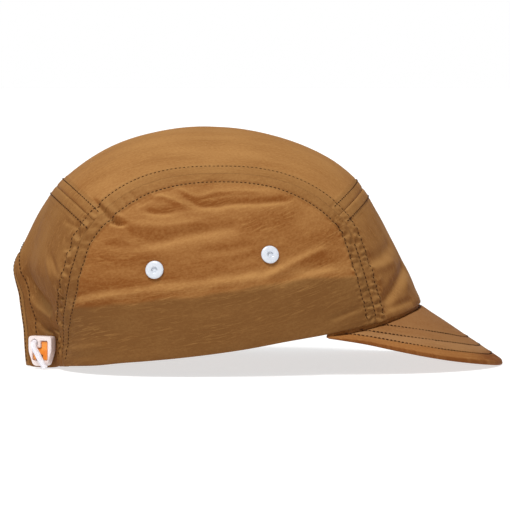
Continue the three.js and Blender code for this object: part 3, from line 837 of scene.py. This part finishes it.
# Stitches, as short arcs of thread along a row: how far their middle stands over the cloth, and
# how much lower their ends are.
STITCH_PITCH = 2
STITCH_LENGTH = 1.7
THREAD_RADIUS = 0.23
STITCH_PROUD = 0.16
STITCH_SINKS = 0.34
STITCH_RINGS = 5
STITCH_SIDES = 6
ROW_LOW = 1.5  # rows begin this far above the crown's lower edge
MIDDLE_ROW_TOP = 62  # the third row of stitches, on the arch seam itself, is below this height


def crown_normal(direction):
    """Unit normals of the smooth crown."""
    helper = np.where(np.abs(direction[..., :1]) < 0.9, [1.0, 0, 0], [0, 1.0, 0])
    first = unit(np.cross(direction, helper))
    second = np.cross(direction, first)
    ends = [smooth_point(unit(direction + step * axis))
            for axis in (first, second) for step in (0.004, -0.004)]
    normal = unit(np.cross(ends[0] - ends[1], ends[2] - ends[3]))
    return normal * np.sign((normal * direction).sum(-1, keepdims=True))


def row_beside(line, offset):
    """Directions of a row of stitches at a distance to one side of a seam's line."""
    tangent = unit(np.gradient(line, axis=0))
    return unit(line + offset * np.cross(crown_normal(unit(line)), tangent))


def tube_quads(rings, sides):
    """Faces between rings of points that follow each other."""
    return [[ring + i, ring + (i + 1) % sides, ring + sides + (i + 1) % sides, ring + sides + i]
            for ring in range(0, (rings - 1) * sides, sides) for i in range(sides)]


def stitched(name, rows, material):
    """Thread along rows of points, each row with the cloth's normals. A stitch is a short tube
    that dips into the cloth at its ends."""
    share = np.linspace(-1, 1, STITCH_RINGS)[:, None, None]
    turn = np.linspace(0, 2 * math.pi, STITCH_SIDES, endpoint=False)[:, None]
    rise = STITCH_PROUD - STITCH_SINKS * share**2
    radius = THREAD_RADIUS * np.sqrt(1.04 - share**4)
    points = []
    for line, normals in rows:
        run = arc_lengths(line)
        at = np.arange(STITCH_PITCH, run[-1] - STITCH_PITCH / 2, STITCH_PITCH)
        middle, up = at_runs(line, run, at), unit(at_runs(normals, run, at))
        ahead = at_runs(line, run, at + 0.5) - middle
        ahead = unit(ahead - up * (ahead * up).sum(1, keepdims=True))
        middle, out, forward, side = [
            values[:, None, None] for values in (middle, up, ahead, np.cross(up, ahead))]
        spine = middle + share * STITCH_LENGTH / 2 * forward + rise * out
        points.append((spine + radius * (np.cos(turn) * out + np.sin(turn) * side)).reshape(-1, 3))
    points = np.concatenate(points)
    each = STITCH_RINGS * STITCH_SIDES
    tube = [list(range(STITCH_SIDES))[::-1], *tube_quads(STITCH_RINGS, STITCH_SIDES),
            list(range(each - STITCH_SIDES, each))]
    faces = [[start + corner for corner in face]
             for start in range(0, len(points), each) for face in tube]
    mesh_piece(name, points, faces, material)


def row_on_cloth(direction, seams, is_side):
    """A row's points on the cloth and its normals, without what lies under the cap's edge."""
    direction = direction[over_rim(smooth_point(direction)) > ROW_LOW]
    return placed(direction, cloth(direction, seams, is_side)[0]), crown_normal(direction)


def seam_stitches(thread):
    """The rows along the arch seams and the cross seams."""
    for name, side in (("right", 1), ("left", -1)):
        seam = "arch_" + name
        line = SEAMS[seam]
        inner = row_on_cloth(row_beside(line, side * ROW_OFFSET), [seam], True)
        outer = row_on_cloth(row_beside(line, -side * ROW_OFFSET), MIDDLE_SEAMS, False)
        low = line[:, 2] < MIDDLE_ROW_TOP
        middle = [row_on_cloth(unit(line[low & end]), [seam], True)
                  for end in (line[:, 1] < 0, line[:, 1] > 0)]
        stitched("arch_stitches_" + name, [inner, outer] + middle, thread)
    rows = [row_on_cloth(row_beside(SEAMS[seam], offset), MIDDLE_SEAMS, False)
            for seam in ("front_cross", "back_cross")
            for offset in (-CROSS_ROW_OFFSET, CROSS_ROW_OFFSET)]
    stitched("cross_stitches", rows, thread)


def opening_hem(material):
    """The folded hem round the adjuster opening."""
    columns, rows = 150, 12
    outside = opening_line(HEM_SIDE, HEM_ABOVE, columns)
    direction = unit(rows_between(opening_line(0, 0, columns), outside, rows))
    flat = direction.reshape(-1, 3)
    smooth = smooth_point(flat)
    reach = np.linalg.norm(smooth, axis=1)
    width = np.repeat(np.linspace(0, 1, rows), columns)
    relief = HEM_PROUD * (1 - (2 * width - 1) ** 4)
    relief -= ROW_GROOVE * bell(width - HEM_ROW, HEM_ROW_WIDTH)
    relief += HEM_LUMP * noise_at(*(smooth.T / 7))
    outer = placed(flat, reach + relief).reshape(direction.shape)
    inner = placed(flat, reach - HEM_DEEP).reshape(direction.shape)
    points, faces, square, origin = shell(outer, inner, HEM_ROUND * (width == 0))
    attributes = colouring(origin, HEM_GLOW_BLOCKED, lengthwise_streaks(flat), HEM_PAINTED_SHADE)
    mesh_piece("hem_cloth", points, faces, material, ["opening_hem"], attributes,
               square)


def hem_stitches(thread):
    """A row on the hem, and one on the panel beside it."""
    rows = []
    for beside in HEM_ROWS:
        line = opening_line(beside, beside * ROW_ABOVE, 200)
        direction = unit(line)
        reach = np.linalg.norm(line, axis=1) + HEM_PROUD / 2
        if beside > HEM_SIDE:
            reach = cloth(direction, MIDDLE_SEAMS, False)[0]
        shows = line[:, 2] > 1
        rows.append((placed(direction, reach)[shows], crown_normal(direction)[shows]))
    stitched("hem_stitches", rows, thread)


def sweatband(material):
    columns, rows = 330, 26
    azimuth = np.linspace(-BAND_END, BAND_END, columns)
    height = np.linspace(BAND_LOW, BAND_HIGH, rows)[:, None]
    direction = compass_direction(azimuth, rise_above(azimuth, height))
    reach = crown_reach(direction) - BAND_DEPTH
    thick = BAND_CLOTH + BAND_BULGE * np.sin(math.pi * np.linspace(0, 1, rows))[:, None]
    points, faces, _, _ = shell(placed(direction, reach), placed(direction, reach - thick),
                                np.ones(rows * columns))
    mesh_piece("band_knit", points, faces, material, ["sweatband"])


# The peak: a stiff board between two layers of the nylon, with rows of stitches round it. Its
# edge seen from above is a superellipse: the ends' and the tip's reach forwards, half the width
# and the power.
PEAK_ENDS = 46.4
PEAK_HALF = 72
PEAK_POWER = 2.15
PEAK_THICK = 2.3
PEAK_TAPER = 0.75  # how much of the thickness is lost at the ends
PEAK_TAPER_POWER = 10
PEAK_ROUND = 0.8  # how round its edge is
PEAK_SEAM_END = 56.6  # the azimuth of the ends on the crown
PEAK_EDGE_END = 89.4  # and the angle round the superellipse
# The height of the edge by how far forward it is.
PEAK_EDGE = [
    (40, 18.6), (46.4, 17.6), (64.4, 14.6), (80.2, 11), (94.5, 7.8), (107.1, 5.3),
    (117.9, 3.4), (126.5, 1.9), (133, 0.7), (138, 0),
]
PEAK_SINKS = 0.45  # the top of the peak below the crown's lower edge
ALLOWANCE_HIGH = 5
ALLOWANCE_REACH = 0.99  # how far round towards the peak's ends it goes
ALLOWANCE_DEPTH = 1.95  # below the crown's face, between its cloth and the sweatband
# The rows of stitches: how far from the edge in the middle of the peak and towards its ends.
PEAK_ROWS = [(5.5, 4.6), (12.5, 8.2), (19.5, 12.8)]
PEAK_GROOVE = 0.28
PEAK_GROOVE_WIDTH = 0.6
PEAK_RIPPLE = 0.1
PEAK_SWELL = 0.2
PEAK_DIP = 1.3  # how far its cover is drawn in at the crown, and over which width
PEAK_APART = 40  # its cover's place in the crinkles' noise
PEAK_UP = (0, -0.35, 1)  # the way its thread stands up
THREAD_SUNK = 0.2
UNDERSIDE_RELIEF = 0.7  # the relief below, as a share of that above
# How much painted shade the cover has, from 0 to 1.
PEAK_PAINTED_SHADE = 0.45
BETWEEN_ROWS = 0.35  # taken off between the outer two rows of stitches
TIP_PAINTED_SHADE = 1.2  # painted shade added along the edge at the tip, which curves down
SEAM_PAINTED_SHADOW = 0.6  # a painted shadow of the crown's edge, added where the cover meets the crown
peak_edge_up = smooth_curve(PEAK_EDGE)


def peak_edge(angle):
    """The lower line of the peak's edge, by the angle round it."""
    sideways = np.sign(angle) * np.abs(np.sin(angle * DEG)) ** (2 / PEAK_POWER)
    ahead = np.cos(angle * DEG) ** (2 / PEAK_POWER)
    reach = mix(PEAK_ENDS, PEAK_TIP, ahead)
    return np.stack([-PEAK_HALF * sideways, -reach, peak_edge_up(reach)], -1)


def peak_seam(side):
    """The upper line along which the peak meets the crown's cloth, side going from -1 to 1."""
    azimuth = side * PEAK_SEAM_END
    direction = compass_direction(azimuth, rise_above(azimuth, 0.0))
    return placed(direction, crown_reach(direction) - CLOTH) - [0, 0, PEAK_SINKS]


def peak_thickness(side):
    return PEAK_THICK * (1 - PEAK_TAPER * np.abs(side) ** PEAK_TAPER_POWER)


def raised(points, height):
    return points + stacked(0, 0, height)


def peak(material, thread):
    columns, rows = 260, 52
    side = np.sin(np.linspace(-1, 1, columns) * math.pi / 2 * 0.999)
    seam, thick = peak_seam(side), peak_thickness(side)
    edge = raised(peak_edge(side * PEAK_EDGE_END), thick)
    top = rows_between(seam, edge, rows).reshape(-1, 3)
    distance, place = nearest_on(edge, top)
    aside = np.tile(np.abs(side), rows)
    from_seam = nearest_on(seam, top)[0]
    relief = peak_relief(distance, place, aside, from_seam)
    upper = raised(top, relief).reshape(rows, columns, 3)
    lower = raised(top, -np.tile(thick, rows) - UNDERSIDE_RELIEF * relief).reshape(upper.shape)
    rolled = np.zeros((rows, columns))
    rolled[-1] = rolled[:, 0] = rolled[:, -1] = PEAK_ROUND
    points, faces, square, origin = shell(upper, lower, rolled.ravel())
    within, turned = peak_shades(distance, aside, from_seam)
    attributes = colouring(origin, within, stacked(place, distance, PEAK_APART), turned)
    # The underside has full painted shade.
    is_under = np.arange(len(points)) >= len(top)
    attributes["turned"] = np.clip(attributes["turned"] + is_under, 0, 1)
    mesh_piece("peak_cloth", points, faces, material, ["peak"], attributes, square)
    peak_stitches(seam, edge, thread)
    peak_allowance(side, material)


def peak_shades(distance, aside, from_seam):
    """How far the cover is inside the outer row of stitches, where it loses its painted glow, and
    how much painted shade it has.
    """
    outer_row, middle_row = [row_from_edge(row, aside) for row in PEAK_ROWS[:2]]
    within = soft_step(outer_row - 1, outer_row + 1, distance)
    between = within * soft_step(middle_row + 2, middle_row - 2, distance)
    at_tip = soft_step(0.45, 0.1, aside) * soft_step(10, 3, distance)
    turned = PEAK_PAINTED_SHADE - BETWEEN_ROWS * between + TIP_PAINTED_SHADE * at_tip
    return within, turned + SEAM_PAINTED_SHADOW * soft_step(2, 0.6, from_seam)


def peak_allowance(side, material):
    """The strip of the peak's cover that is sewn up between the crown and the sweatband."""
    azimuth = side * PEAK_SEAM_END * ALLOWANCE_REACH
    low = -PEAK_SINKS - 0.9 * peak_thickness(side)
    height = mix(low, ALLOWANCE_HIGH, np.linspace(0, 1, 5)[:, None])
    direction = compass_direction(azimuth, rise_above(azimuth, height))
    reach = crown_reach(direction) - ALLOWANCE_DEPTH
    outer, inner = placed(direction, reach), placed(direction, reach - ALLOWANCE)
    points, faces, square, _ = shell(outer, inner, np.zeros(reach.size))
    # Full painted shade and none of the painted glow, for a strip that lies in shadow.
    attributes = colouring(np.arange(len(points)), 1, points, 1)
    mesh_piece("peak_allowance", points, faces, material, (), attributes, square)


def row_from_edge(row, aside):
    """How far a row of stitches is from the edge, by how far aside it is, from 0 to 1."""
    middle, end = row
    return mix(middle, end, soft_step(0.3, 0.95, aside))


def peak_relief(distance, place, aside, from_seam):
    """Height of the cover's grooves and ripples, and its dip where it meets the crown."""
    grooves = sum(bell(distance - row_from_edge(row, aside), PEAK_GROOVE_WIDTH)
                  for row in PEAK_ROWS)
    ripple = PEAK_RIPPLE * noise_at(place / 4.5, distance / 9, 0)
    swell = PEAK_SWELL * noise_at(place / 22, distance / 12, 7)
    dip = PEAK_DIP * bell(from_seam, PEAK_DIP) * soft_step(1, 4, distance)
    return (ripple + swell - PEAK_GROOVE * grooves) * soft_step(0, 3, distance) - dip


def peak_stitches(seam, edge, thread):
    """Each row runs through the first place from the seam that is near enough to the edge."""
    lines = rows_between(seam, edge, 400)
    gap = np.stack([nearest_on(edge, column)[0] for column in lines.transpose(1, 0, 2)], 1)
    count = lines.shape[1]
    aside = np.abs(np.sin(np.linspace(-1, 1, count) * math.pi / 2))
    rows = []
    for row in PEAK_ROWS:
        from_edge = row_from_edge(row, aside)
        found = gap[0] > from_edge
        first = np.argmax(gap < from_edge, axis=0)
        line = resampled(lines[first, np.arange(count)][found], 300)
        rows.append((raised(line, -THREAD_SUNK), np.tile(unit(np.array(PEAK_UP)), (300, 1))))
    stitched("peak_stitches", rows, thread)


# A press snap: its half outline from the dimple out, under the cap, and down to the washer.
SNAP_SHANK = 1.3
SNAP_SIDES = 64
SHARP = 50  # the angle between two faces from which their edge is drawn sharp
SNAP_OUTLINE = [
    (0, 0.56), (0.5, 0.54), (1, 0.5), (1.28, 0.5), (1.38, 0.62), (1.42, 1.22), (1.52, 1.37),
    (1.75, 1.41), (2.2, 1.42), (2.8, 1.38), (3.4, 1.26), (3.85, 1.08), (4.1, 0.86),
    (4.2, 0.62), (4.15, 0.46), (3.95, 0.38),
    (SNAP_SHANK, 0.38), (SNAP_SHANK, -1.9), (3.2, -1.9), (3.4, -2), (3.5, -2.3), (3.4, -2.65),
    (3.1, -2.8), (0, -2.8),
]


def snap_axes(along, across, side):
    """A snap's middle on the cloth, and its unit axes: forwards, out of the cap, and the third."""
    def at(a, b):
        return smooth_point(seam_direction(a, side * b))

    forward = unit(at(along - 2, across) - at(along + 2, across))
    down = unit(at(along, across + 2) - at(along, across - 2))
    out = unit(np.cross(down, forward) * side)
    return at(along, across), forward, out, np.cross(forward, out)


def snap(name, along, across, side, material):
    """A snap turned from its half outline, whose first and last points are its two poles."""
    middle, forward, out, third = snap_axes(along, across, side)
    radius, up = np.array(SNAP_OUTLINE).T
    turn = np.linspace(0, 2 * math.pi, SNAP_SIDES, endpoint=False)
    circle = np.outer(np.cos(turn), forward) + np.outer(np.sin(turn), third)
    rings = middle + radius[1:-1, None, None] * circle + up[1:-1, None, None] * out
    poles = [middle + up[0] * out, middle + up[-1] * out]
    points = np.concatenate([rings.reshape(-1, 3), poles])
    faces = tube_quads(len(rings), SNAP_SIDES)
    top, last = len(points) - 2, len(points) - 2 - SNAP_SIDES
    for i in range(SNAP_SIDES):
        j = (i + 1) % SNAP_SIDES
        faces += [[top, j, i], [top + 1, last + i, last + j]]
    bevel_shading(mesh_piece(name + "_cap", points, faces, material, [name]))


def bevel_shading(piece):
    """Turns a piece's faces to face out, and keeps its sharp edges sharp in the shading."""
    made = bmesh.new()
    made.from_mesh(piece.data)
    bmesh.ops.recalc_face_normals(made, faces=made.faces)
    for edge in made.edges:
        edge.smooth = len(edge.link_faces) == 2 and edge.calc_face_angle() < SHARP * DEG
    made.to_mesh(piece.data)
    made.free()


# The toggle's own frame: X along its width, Y up, Z out of the cap.
TOGGLE_THICK = 4.5
TOGGLE_TURN = 30
TOGGLE_CORNER = (-19.6, 89.3, 1.6)
TOGGLE_OUTLINE = [(2.5, 0), (10.1, 0), (12.6, 7), (12.6, 14.2), (0, 14.2), (0, 7)]
TOGGLE_WINDOW = [(2.2, 2.6), (10.4, 2.6), (10.4, 12), (6.6, 12), (6.6, 8.6), (2.2, 8.6)]
TOGGLE_BORE = (3.3, 11)
BORE_WIDER = 0.3  # how much wider the bore is than the cord's radius
LOCK_SUNK = 0.6
LOCK_OUTLINE = [
    (2.5, 2.9), (5, 2.9), (5, 5.4), (7.6, 5.4), (7.6, 2.9), (10.1, 2.9),
    (10.1, 11.7), (6.9, 11.7), (6.9, 8.3), (2.5, 8.3),
]
OUTER_ROUND = 1.8
WINDOW_ROUND = 0.8
LOCK_ROUND = 0.5
TOGGLE_BEVEL = 0.5
LOCK_BEVEL = 0.3
# The cord: its points inside the cap, from the hem on, and those in the toggle's own frame.
CORD_RADIUS = 1.4
CORD_INSIDE = [(5.2, 90.9, 8), (1, 88.9, 9), (-5, 84.9, 11.2)]
CORD_ON_TOGGLE = [
    (3.3, 11, -9.5), (3.3, 11, -5), (3.3, 11, 0), (3.3, 11, 4.2), (4, 9.6, 6.3),
    (6.3, 5.7, 6.5), (8.3, 2.2, 6.4), (10.1, -0.65, 6.1),
]


def toggle_to_cap(points):
    turn = TOGGLE_TURN * DEG
    axes = np.array([
        [-math.sin(turn), -math.cos(turn), 0], [0, 0, 1], [-math.cos(turn), math.sin(turn), 0],
    ])
    return np.array(points, float) @ axes + TOGGLE_CORNER


def round_corners(points, radius):
    """A polygon's outline with each corner cut round."""
    made = []
    corners = np.array(points, float)
    for i, corner in enumerate(corners):
        before = corner + unit(corners[i - 1] - corner) * radius
        after = corner + unit(corners[(i + 1) % len(corners)] - corner) * radius
        for t in np.linspace(0, 1, 9):
            made.append((1 - t) ** 2 * before + 2 * t * (1 - t) * corner + t**2 * after)
    return np.array(made)


def moulded_plate(node, outlines, low, high, bevel, material):
    """A plate with holes and rounded edges, in the toggle's own frame."""
    curve = bpy.data.curves.new(node, "CURVE")
    curve.dimensions = "2D"
    curve.fill_mode = "BOTH"
    curve.extrude = (high - low) / 2 - bevel
    curve.bevel_depth = bevel
    curve.bevel_resolution = 3
    curve.offset = -bevel
    for outline in outlines:
        spline = curve.splines.new("POLY")
        spline.points.add(len(outline) - 1)
        spline.points.foreach_set("co", np.array([(x, y, 0, 1) for x, y in outline]).ravel())
        spline.use_cyclic_u = True
    holder = bpy.data.objects.new(node, curve)
    mesh = bpy.data.meshes.new_from_object(holder)
    points = np.array([v.co for v in mesh.vertices]) + [0, 0, (low + high) / 2]
    faces = [list(p.vertices) for p in mesh.polygons]
    bpy.data.objects.remove(holder)
    bpy.data.meshes.remove(mesh)
    piece = mesh_piece(node + "_plate", toggle_to_cap(points), faces, material, [node])
    bevel_shading(piece)


def toggle(shell_plastic, lock_plastic):
    turn = np.linspace(0, 2 * math.pi, 28, endpoint=False)
    circle = np.stack([np.cos(turn), np.sin(turn)], -1)
    outlines = [round_corners(TOGGLE_OUTLINE, OUTER_ROUND),
                round_corners(TOGGLE_WINDOW, WINDOW_ROUND),
                circle * (CORD_RADIUS + BORE_WIDER) + TOGGLE_BORE]
    moulded_plate("toggle_body", outlines, 0, TOGGLE_THICK, TOGGLE_BEVEL, shell_plastic)
    lock = [round_corners(LOCK_OUTLINE, LOCK_ROUND)]
    moulded_plate("toggle_lock", lock, LOCK_SUNK, TOGGLE_THICK - LOCK_SUNK, LOCK_BEVEL,
                  lock_plastic)


def closure_cord(material):
    """The elastic cord, from the far hem out through the toggle to its cut tail."""
    points = np.concatenate([np.array(CORD_INSIDE, float), toggle_to_cap(CORD_ON_TOGGLE)])
    curve = bpy.data.curves.new("elastic_cord", "CURVE")
    curve.dimensions = "3D"
    curve.bevel_depth = CORD_RADIUS * MM
    curve.bevel_resolution = 6
    curve.resolution_u = 16
    curve.use_fill_caps = True
    spline = curve.splines.new("BEZIER")
    spline.bezier_points.add(len(points) - 1)
    for knot, place in zip(spline.bezier_points, to_frame(points)):
        knot.co = place
        knot.handle_left_type = knot.handle_right_type = "AUTO"
    curve.materials.append(material)
    piece = added("elastic_cord", curve)
    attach(piece, "root")
    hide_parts("closure_cord")


# The nylon's patterns, each by its size along and across the crinkles in millimetres.
SHADE_SIZE = (40, 12)
WEAVE_SIZE = (1.4, 0.7)
STREAK_SIZE = (9, 0.8)
PATTERN_APART = 20  # how far apart the pattern is from one panel's third coordinate to another's
WEAVE_SHARE = 0.2  # how high the weave stands, as a share of the streaks' height
STREAK_HEIGHT = 0.8
# Colours of the nylon: a single layer with its painted glow, the same in painted shade, on other
# cloth, and that in painted shade.
CROWN_COLOURS = ("#b0804b", "#7f4b21", "#91693c", "#754e29")
PEAK_COLOURS = ("#ac7642", "#7a4720", "#9d7249", "#7c4a20")
# A painted highlight, where the crinkles' edges catch the light.
CRINKLE_HIGHLIGHT = "#cf9c5c"
# The size of the other materials' patterns in millimetres.
KNIT_RIB = 1.8
THREAD_PLY = 0.6
COAT_WAVE = 2
MOULD_FLOW = 3
THIN_PATCH = 4
BRAID_STRAND = 0.7
WAVE_BANDS = 6.28  # bands of a wave texture in each unit of its scale


def crinkle_pattern(tree, size, **inputs):
    """Noise drawn out along the cloth's crinkles, by its size in millimetres."""
    along, across = size
    grain = add_node(tree, "ShaderNodeAttribute", {"attribute_name": "grain"})
    scaled = add_node(tree, "ShaderNodeMapping", inputs={
        "Vector": grain.outputs["Vector"],
        "Scale": (1 / (along * MM), 1 / (across * MM), PATTERN_APART)})
    pattern = add_node(tree, "ShaderNodeTexNoise", inputs={
        "Vector": scaled.outputs["Vector"], "Scale": 1, **inputs})
    return pattern.outputs["Fac"]


def crinkled_taffeta(name, lit, turned, backed, backed_turned):
    """Thin woven nylon with pressed crinkles. A single layer has a painted glow of light through it
    and looks golden or orange, and over the band and the seam allowances it is a darker, more olive
    brown. Each has a lit colour and a painted shade colour. Fine painted highlights in patches show
    where the crinkles' edges catch the light."""
    material, tree, shader = surface(name, roughness=0.65, ior=1.45, specular_ior_level=0.04)
    glow_blocked, painted_shade_amount = [
        add_node(tree, "ShaderNodeAttribute", {"attribute_name": key}).outputs["Fac"]
        for key in ("glow_blocked", "turned")]
    shade = crinkle_pattern(tree, SHADE_SIZE, Detail=4)
    weave = crinkle_pattern(tree, WEAVE_SIZE, Detail=2)
    streak = crinkle_pattern(tree, STREAK_SIZE, Detail=3, Distortion=0.9)
    drift, speckle, edge, patches = [
        add_node(tree, "ShaderNodeMapRange", inputs={
            "Value": pattern, "From Min": start, "From Max": end, "To Min": low, "To Max": high,
        }).outputs["Result"]
        for pattern, start, end, low, high in (
            (shade, 0.35, 0.65, -0.16, 0.16), (weave, 0.3, 0.7, -0.14, 0.14),
            (streak, 0.5, 0.72, 0, 0.25), (shade, 0.42, 0.62, 0.15, 1))]
    varied = add_node(tree, "ShaderNodeMath", {"operation": "ADD"}, {0: drift, 1: speckle})
    # Painted shade: the attribute and a random tone take the lit colours towards the shaded ones.
    turn = add_node(tree, "ShaderNodeMath", {"operation": "ADD", "use_clamp": True}, {
        0: painted_shade_amount, 1: varied.outputs["Value"]})
    single, double = [
        add_node(tree, "ShaderNodeMix", {"data_type": "RGBA"}, {
            0: turn.outputs["Value"], 6: srgb(light), 7: srgb(dark)})
        for light, dark in ((lit, turned), (backed, backed_turned))]
    colour = add_node(tree, "ShaderNodeMix", {"data_type": "RGBA"}, {
        0: glow_blocked, 6: single.outputs[2], 7: double.outputs[2]})
    # The painted highlight in patches, which also raises the bump.
    crest = add_node(tree, "ShaderNodeMath", {"operation": "MULTIPLY"}, {0: edge, 1: patches})
    streaked = add_node(tree, "ShaderNodeMix", {"data_type": "RGBA"}, {
        0: crest.outputs["Value"], 6: colour.outputs[2], 7: srgb(CRINKLE_HIGHLIGHT)})
    tree.links.new(streaked.outputs[2], shader.inputs["Base Color"])
    height = add_node(tree, "ShaderNodeMath", {"operation": "MULTIPLY_ADD"}, {
        0: weave, 1: WEAVE_SHARE, 2: crest.outputs["Value"]})
    bump = add_node(tree, "ShaderNodeBump", inputs={
        "Height": height.outputs["Value"], "Strength": 0.6, "Distance": STREAK_HEIGHT * MM})
    tree.links.new(bump.outputs["Normal"], shader.inputs["Normal"])
    return material


def patterned(name, pattern, colours=None, relief=None, settings=None, **values):
    """A material whose pattern mixes two colours and raises the surface by a strength and a
    height in millimetres. The pattern is a kind of texture, its size in millimetres and its
    own inputs."""
    kind, size, inputs = pattern
    material, tree, shader = surface(name, **values)
    place = add_node(tree, "ShaderNodeTexCoord")
    texture = add_node(tree, kind, settings, {
        "Vector": place.outputs["Object"], "Scale": 1 / (size * MM), **inputs})
    is_net = kind == "ShaderNodeTexVoronoi"  # which is least where its strands stand up
    share = texture.outputs["Distance" if is_net else "Fac"]
    if colours:
        colour = add_node(tree, "ShaderNodeMix", {"data_type": "RGBA"}, {
            0: share, 6: srgb(colours[0]), 7: srgb(colours[1])})
        tree.links.new(colour.outputs[2], shader.inputs["Base Color"])
    if relief:
        strength, height = relief
        bump = add_node(tree, "ShaderNodeBump", {"invert": is_net}, {
            "Height": share, "Strength": strength, "Distance": height * MM})
        tree.links.new(bump.outputs["Normal"], shader.inputs["Normal"])
    return material


def rib_knit():
    """Matt polyester knit of the sweatband, whose fine ribs have a lighter face and painted shade
    in their furrows."""
    ribs = ("ShaderNodeTexWave", KNIT_RIB * WAVE_BANDS, {"Distortion": 1.5, "Detail": 1})
    return patterned("rib_knit", ribs, ("#3b2d1c", "#58462f"), (0.5, 0.4),
                     {"bands_direction": "Z"}, roughness=0.9, sheen_weight=0.2)


def polyester_thread():
    """Spun polyester thread, dull, with lighter plies. Its dark brown is partly its own colour and
    partly painted shade of the needle pits along the rows.
    """
    plies = ("ShaderNodeTexNoise", THREAD_PLY, {})
    return patterned("polyester_thread", plies, ("#281204", "#4c280d"),
                     roughness=0.8, specular_ior_level=0.15)


def white_lacquer():
    """Brass snap caps under glossy white lacquer, with the faint waviness of a dipped coat."""
    coat = ("ShaderNodeTexNoise", COAT_WAVE, {"Detail": 1})
    return patterned("lacquered_brass", coat, ("#cacfd8", "#dce0e7"), (0.2, 0.2),
                     roughness=0.25, ior=1.5, coat_weight=0.6, coat_roughness=0.1)


def frosted_acetal():
    """Moulded acetal, milky and a little see-through, with a faintly uneven moulded face."""
    flow = ("ShaderNodeTexNoise", MOULD_FLOW, {"Detail": 2})
    return patterned("frosted_acetal", flow, relief=(0.3, 0.3), base_color=srgb("#fdeeea"),
                     roughness=0.3, ior=1.48, transmission_weight=0.15)


def orange_acetal():
    """Moulded acetal in orange, lighter and yellower where it is thin."""
    thin = ("ShaderNodeTexNoise", THIN_PATCH, {"Detail": 1})
    return patterned("orange_acetal", thin, ("#e56a14", "#fcb64e"), roughness=0.3, ior=1.48)


def braided_elastic():
    """Round elastic in a fine white polyester braid, whose strands show as a small raised net with
    painted shade between them.
    """
    strands = ("ShaderNodeTexVoronoi", BRAID_STRAND, {})
    return patterned("braided_elastic", strands, ("#fbf9fc", "#d8d3dc"), (0.5, 0.3),
                     roughness=0.75, sheen_weight=0.2)


# The studio: the floor's half width in metres and its glow, the key light's strength, angles and
# spread, and the sky's strength above a bright band that fades upwards from the horizon.
FLOOR_HALF = 60
FLOOR_GLOW = 0.66
KEY_STRENGTH = 2.7
KEY_AZIMUTH = -118
KEY_ELEVATION = 63
KEY_SPREAD = 22
SKY_STRENGTH = 0.3
HORIZON_TOP = 0.12
HORIZON_FADES = 0.1
WHITE = (1, 1, 1, 1)


def studio():
    """A soft high key light from the left, a dimmer sky, and a white floor out to a bright
    horizon."""
    scene = bpy.context.scene
    scene.view_settings.view_transform = "Standard"
    scene.world = studio_sky()
    mesh = bpy.data.meshes.new("floor")
    corners = [(-FLOOR_HALF, -FLOOR_HALF, 0), (FLOOR_HALF, -FLOOR_HALF, 0),
               (FLOOR_HALF, FLOOR_HALF, 0), (-FLOOR_HALF, FLOOR_HALF, 0)]
    mesh.from_pydata(corners, [], [(0, 1, 2, 3)])
    material, _, _ = surface("pale_floor", base_color=srgb("#b4b4b4"), roughness=0.9,
                             emission_color=WHITE, emission_strength=FLOOR_GLOW)
    mesh.materials.append(material)
    added("floor", mesh)
    key = bpy.data.lights.new("key", "SUN")
    key.energy = KEY_STRENGTH
    key.angle = KEY_SPREAD * DEG
    look_along(added("key", key), -from_angles(KEY_AZIMUTH, KEY_ELEVATION))


def studio_sky():
    world = bpy.data.worlds.new("studio_sky")
    world.use_nodes = True
    tree = world.node_tree
    place = add_node(tree, "ShaderNodeTexCoord")
    split = add_node(tree, "ShaderNodeSeparateXYZ", inputs={"Vector": place.outputs["Generated"]})
    strength = add_node(tree, "ShaderNodeMapRange", inputs={
        "Value": split.outputs["Z"], "From Min": HORIZON_TOP,
        "From Max": HORIZON_TOP + HORIZON_FADES, "To Min": 1, "To Max": SKY_STRENGTH})
    background = tree.nodes["Background"]
    background.inputs["Color"].default_value = WHITE
    tree.links.new(strength.outputs["Result"], background.inputs["Strength"])
    return world


studio_camera()
closure_cord(braided_elastic())
crown_cloth = crinkled_taffeta("crinkled_nylon_taffeta", *CROWN_COLOURS)
peak_cloth = crinkled_taffeta("peak_nylon_taffeta", *PEAK_COLOURS)
thread = polyester_thread()
front_along, back_along = cross_along(FRONT_SEAM), cross_along(BACK_SEAM)
panel("top_panel", middle_directions(front_along, back_along, 180, 140), MIDDLE_SEAMS,
      crown_cloth, thick=0.1)
panel("front_panel", middle_directions(front_rim_along, front_along, 90, 140), MIDDLE_SEAMS,
      crown_cloth, thick=0.5)
panel("back_panel", back_directions(60, 260), MIDDLE_SEAMS, crown_cloth, thick=0.7)
panel("side_panel_right", side_directions(1, 110, 230), ["arch_right"], crown_cloth, is_side=True)
panel("side_panel_left", side_directions(-1, 110, 230), ["arch_left"], crown_cloth, is_side=True)
seam_stitches(thread)
opening_hem(crown_cloth)
hem_stitches(thread)
sweatband(rib_knit())
peak(peak_cloth, thread)
lacquer = white_lacquer()
for end, (along, across) in SNAPS.items():
    snap("snap_right_" + end, along, across, 1, lacquer)
    snap("snap_left_" + end, along, across, -1, lacquer)
toggle(frosted_acetal(), orange_acetal())
studio()
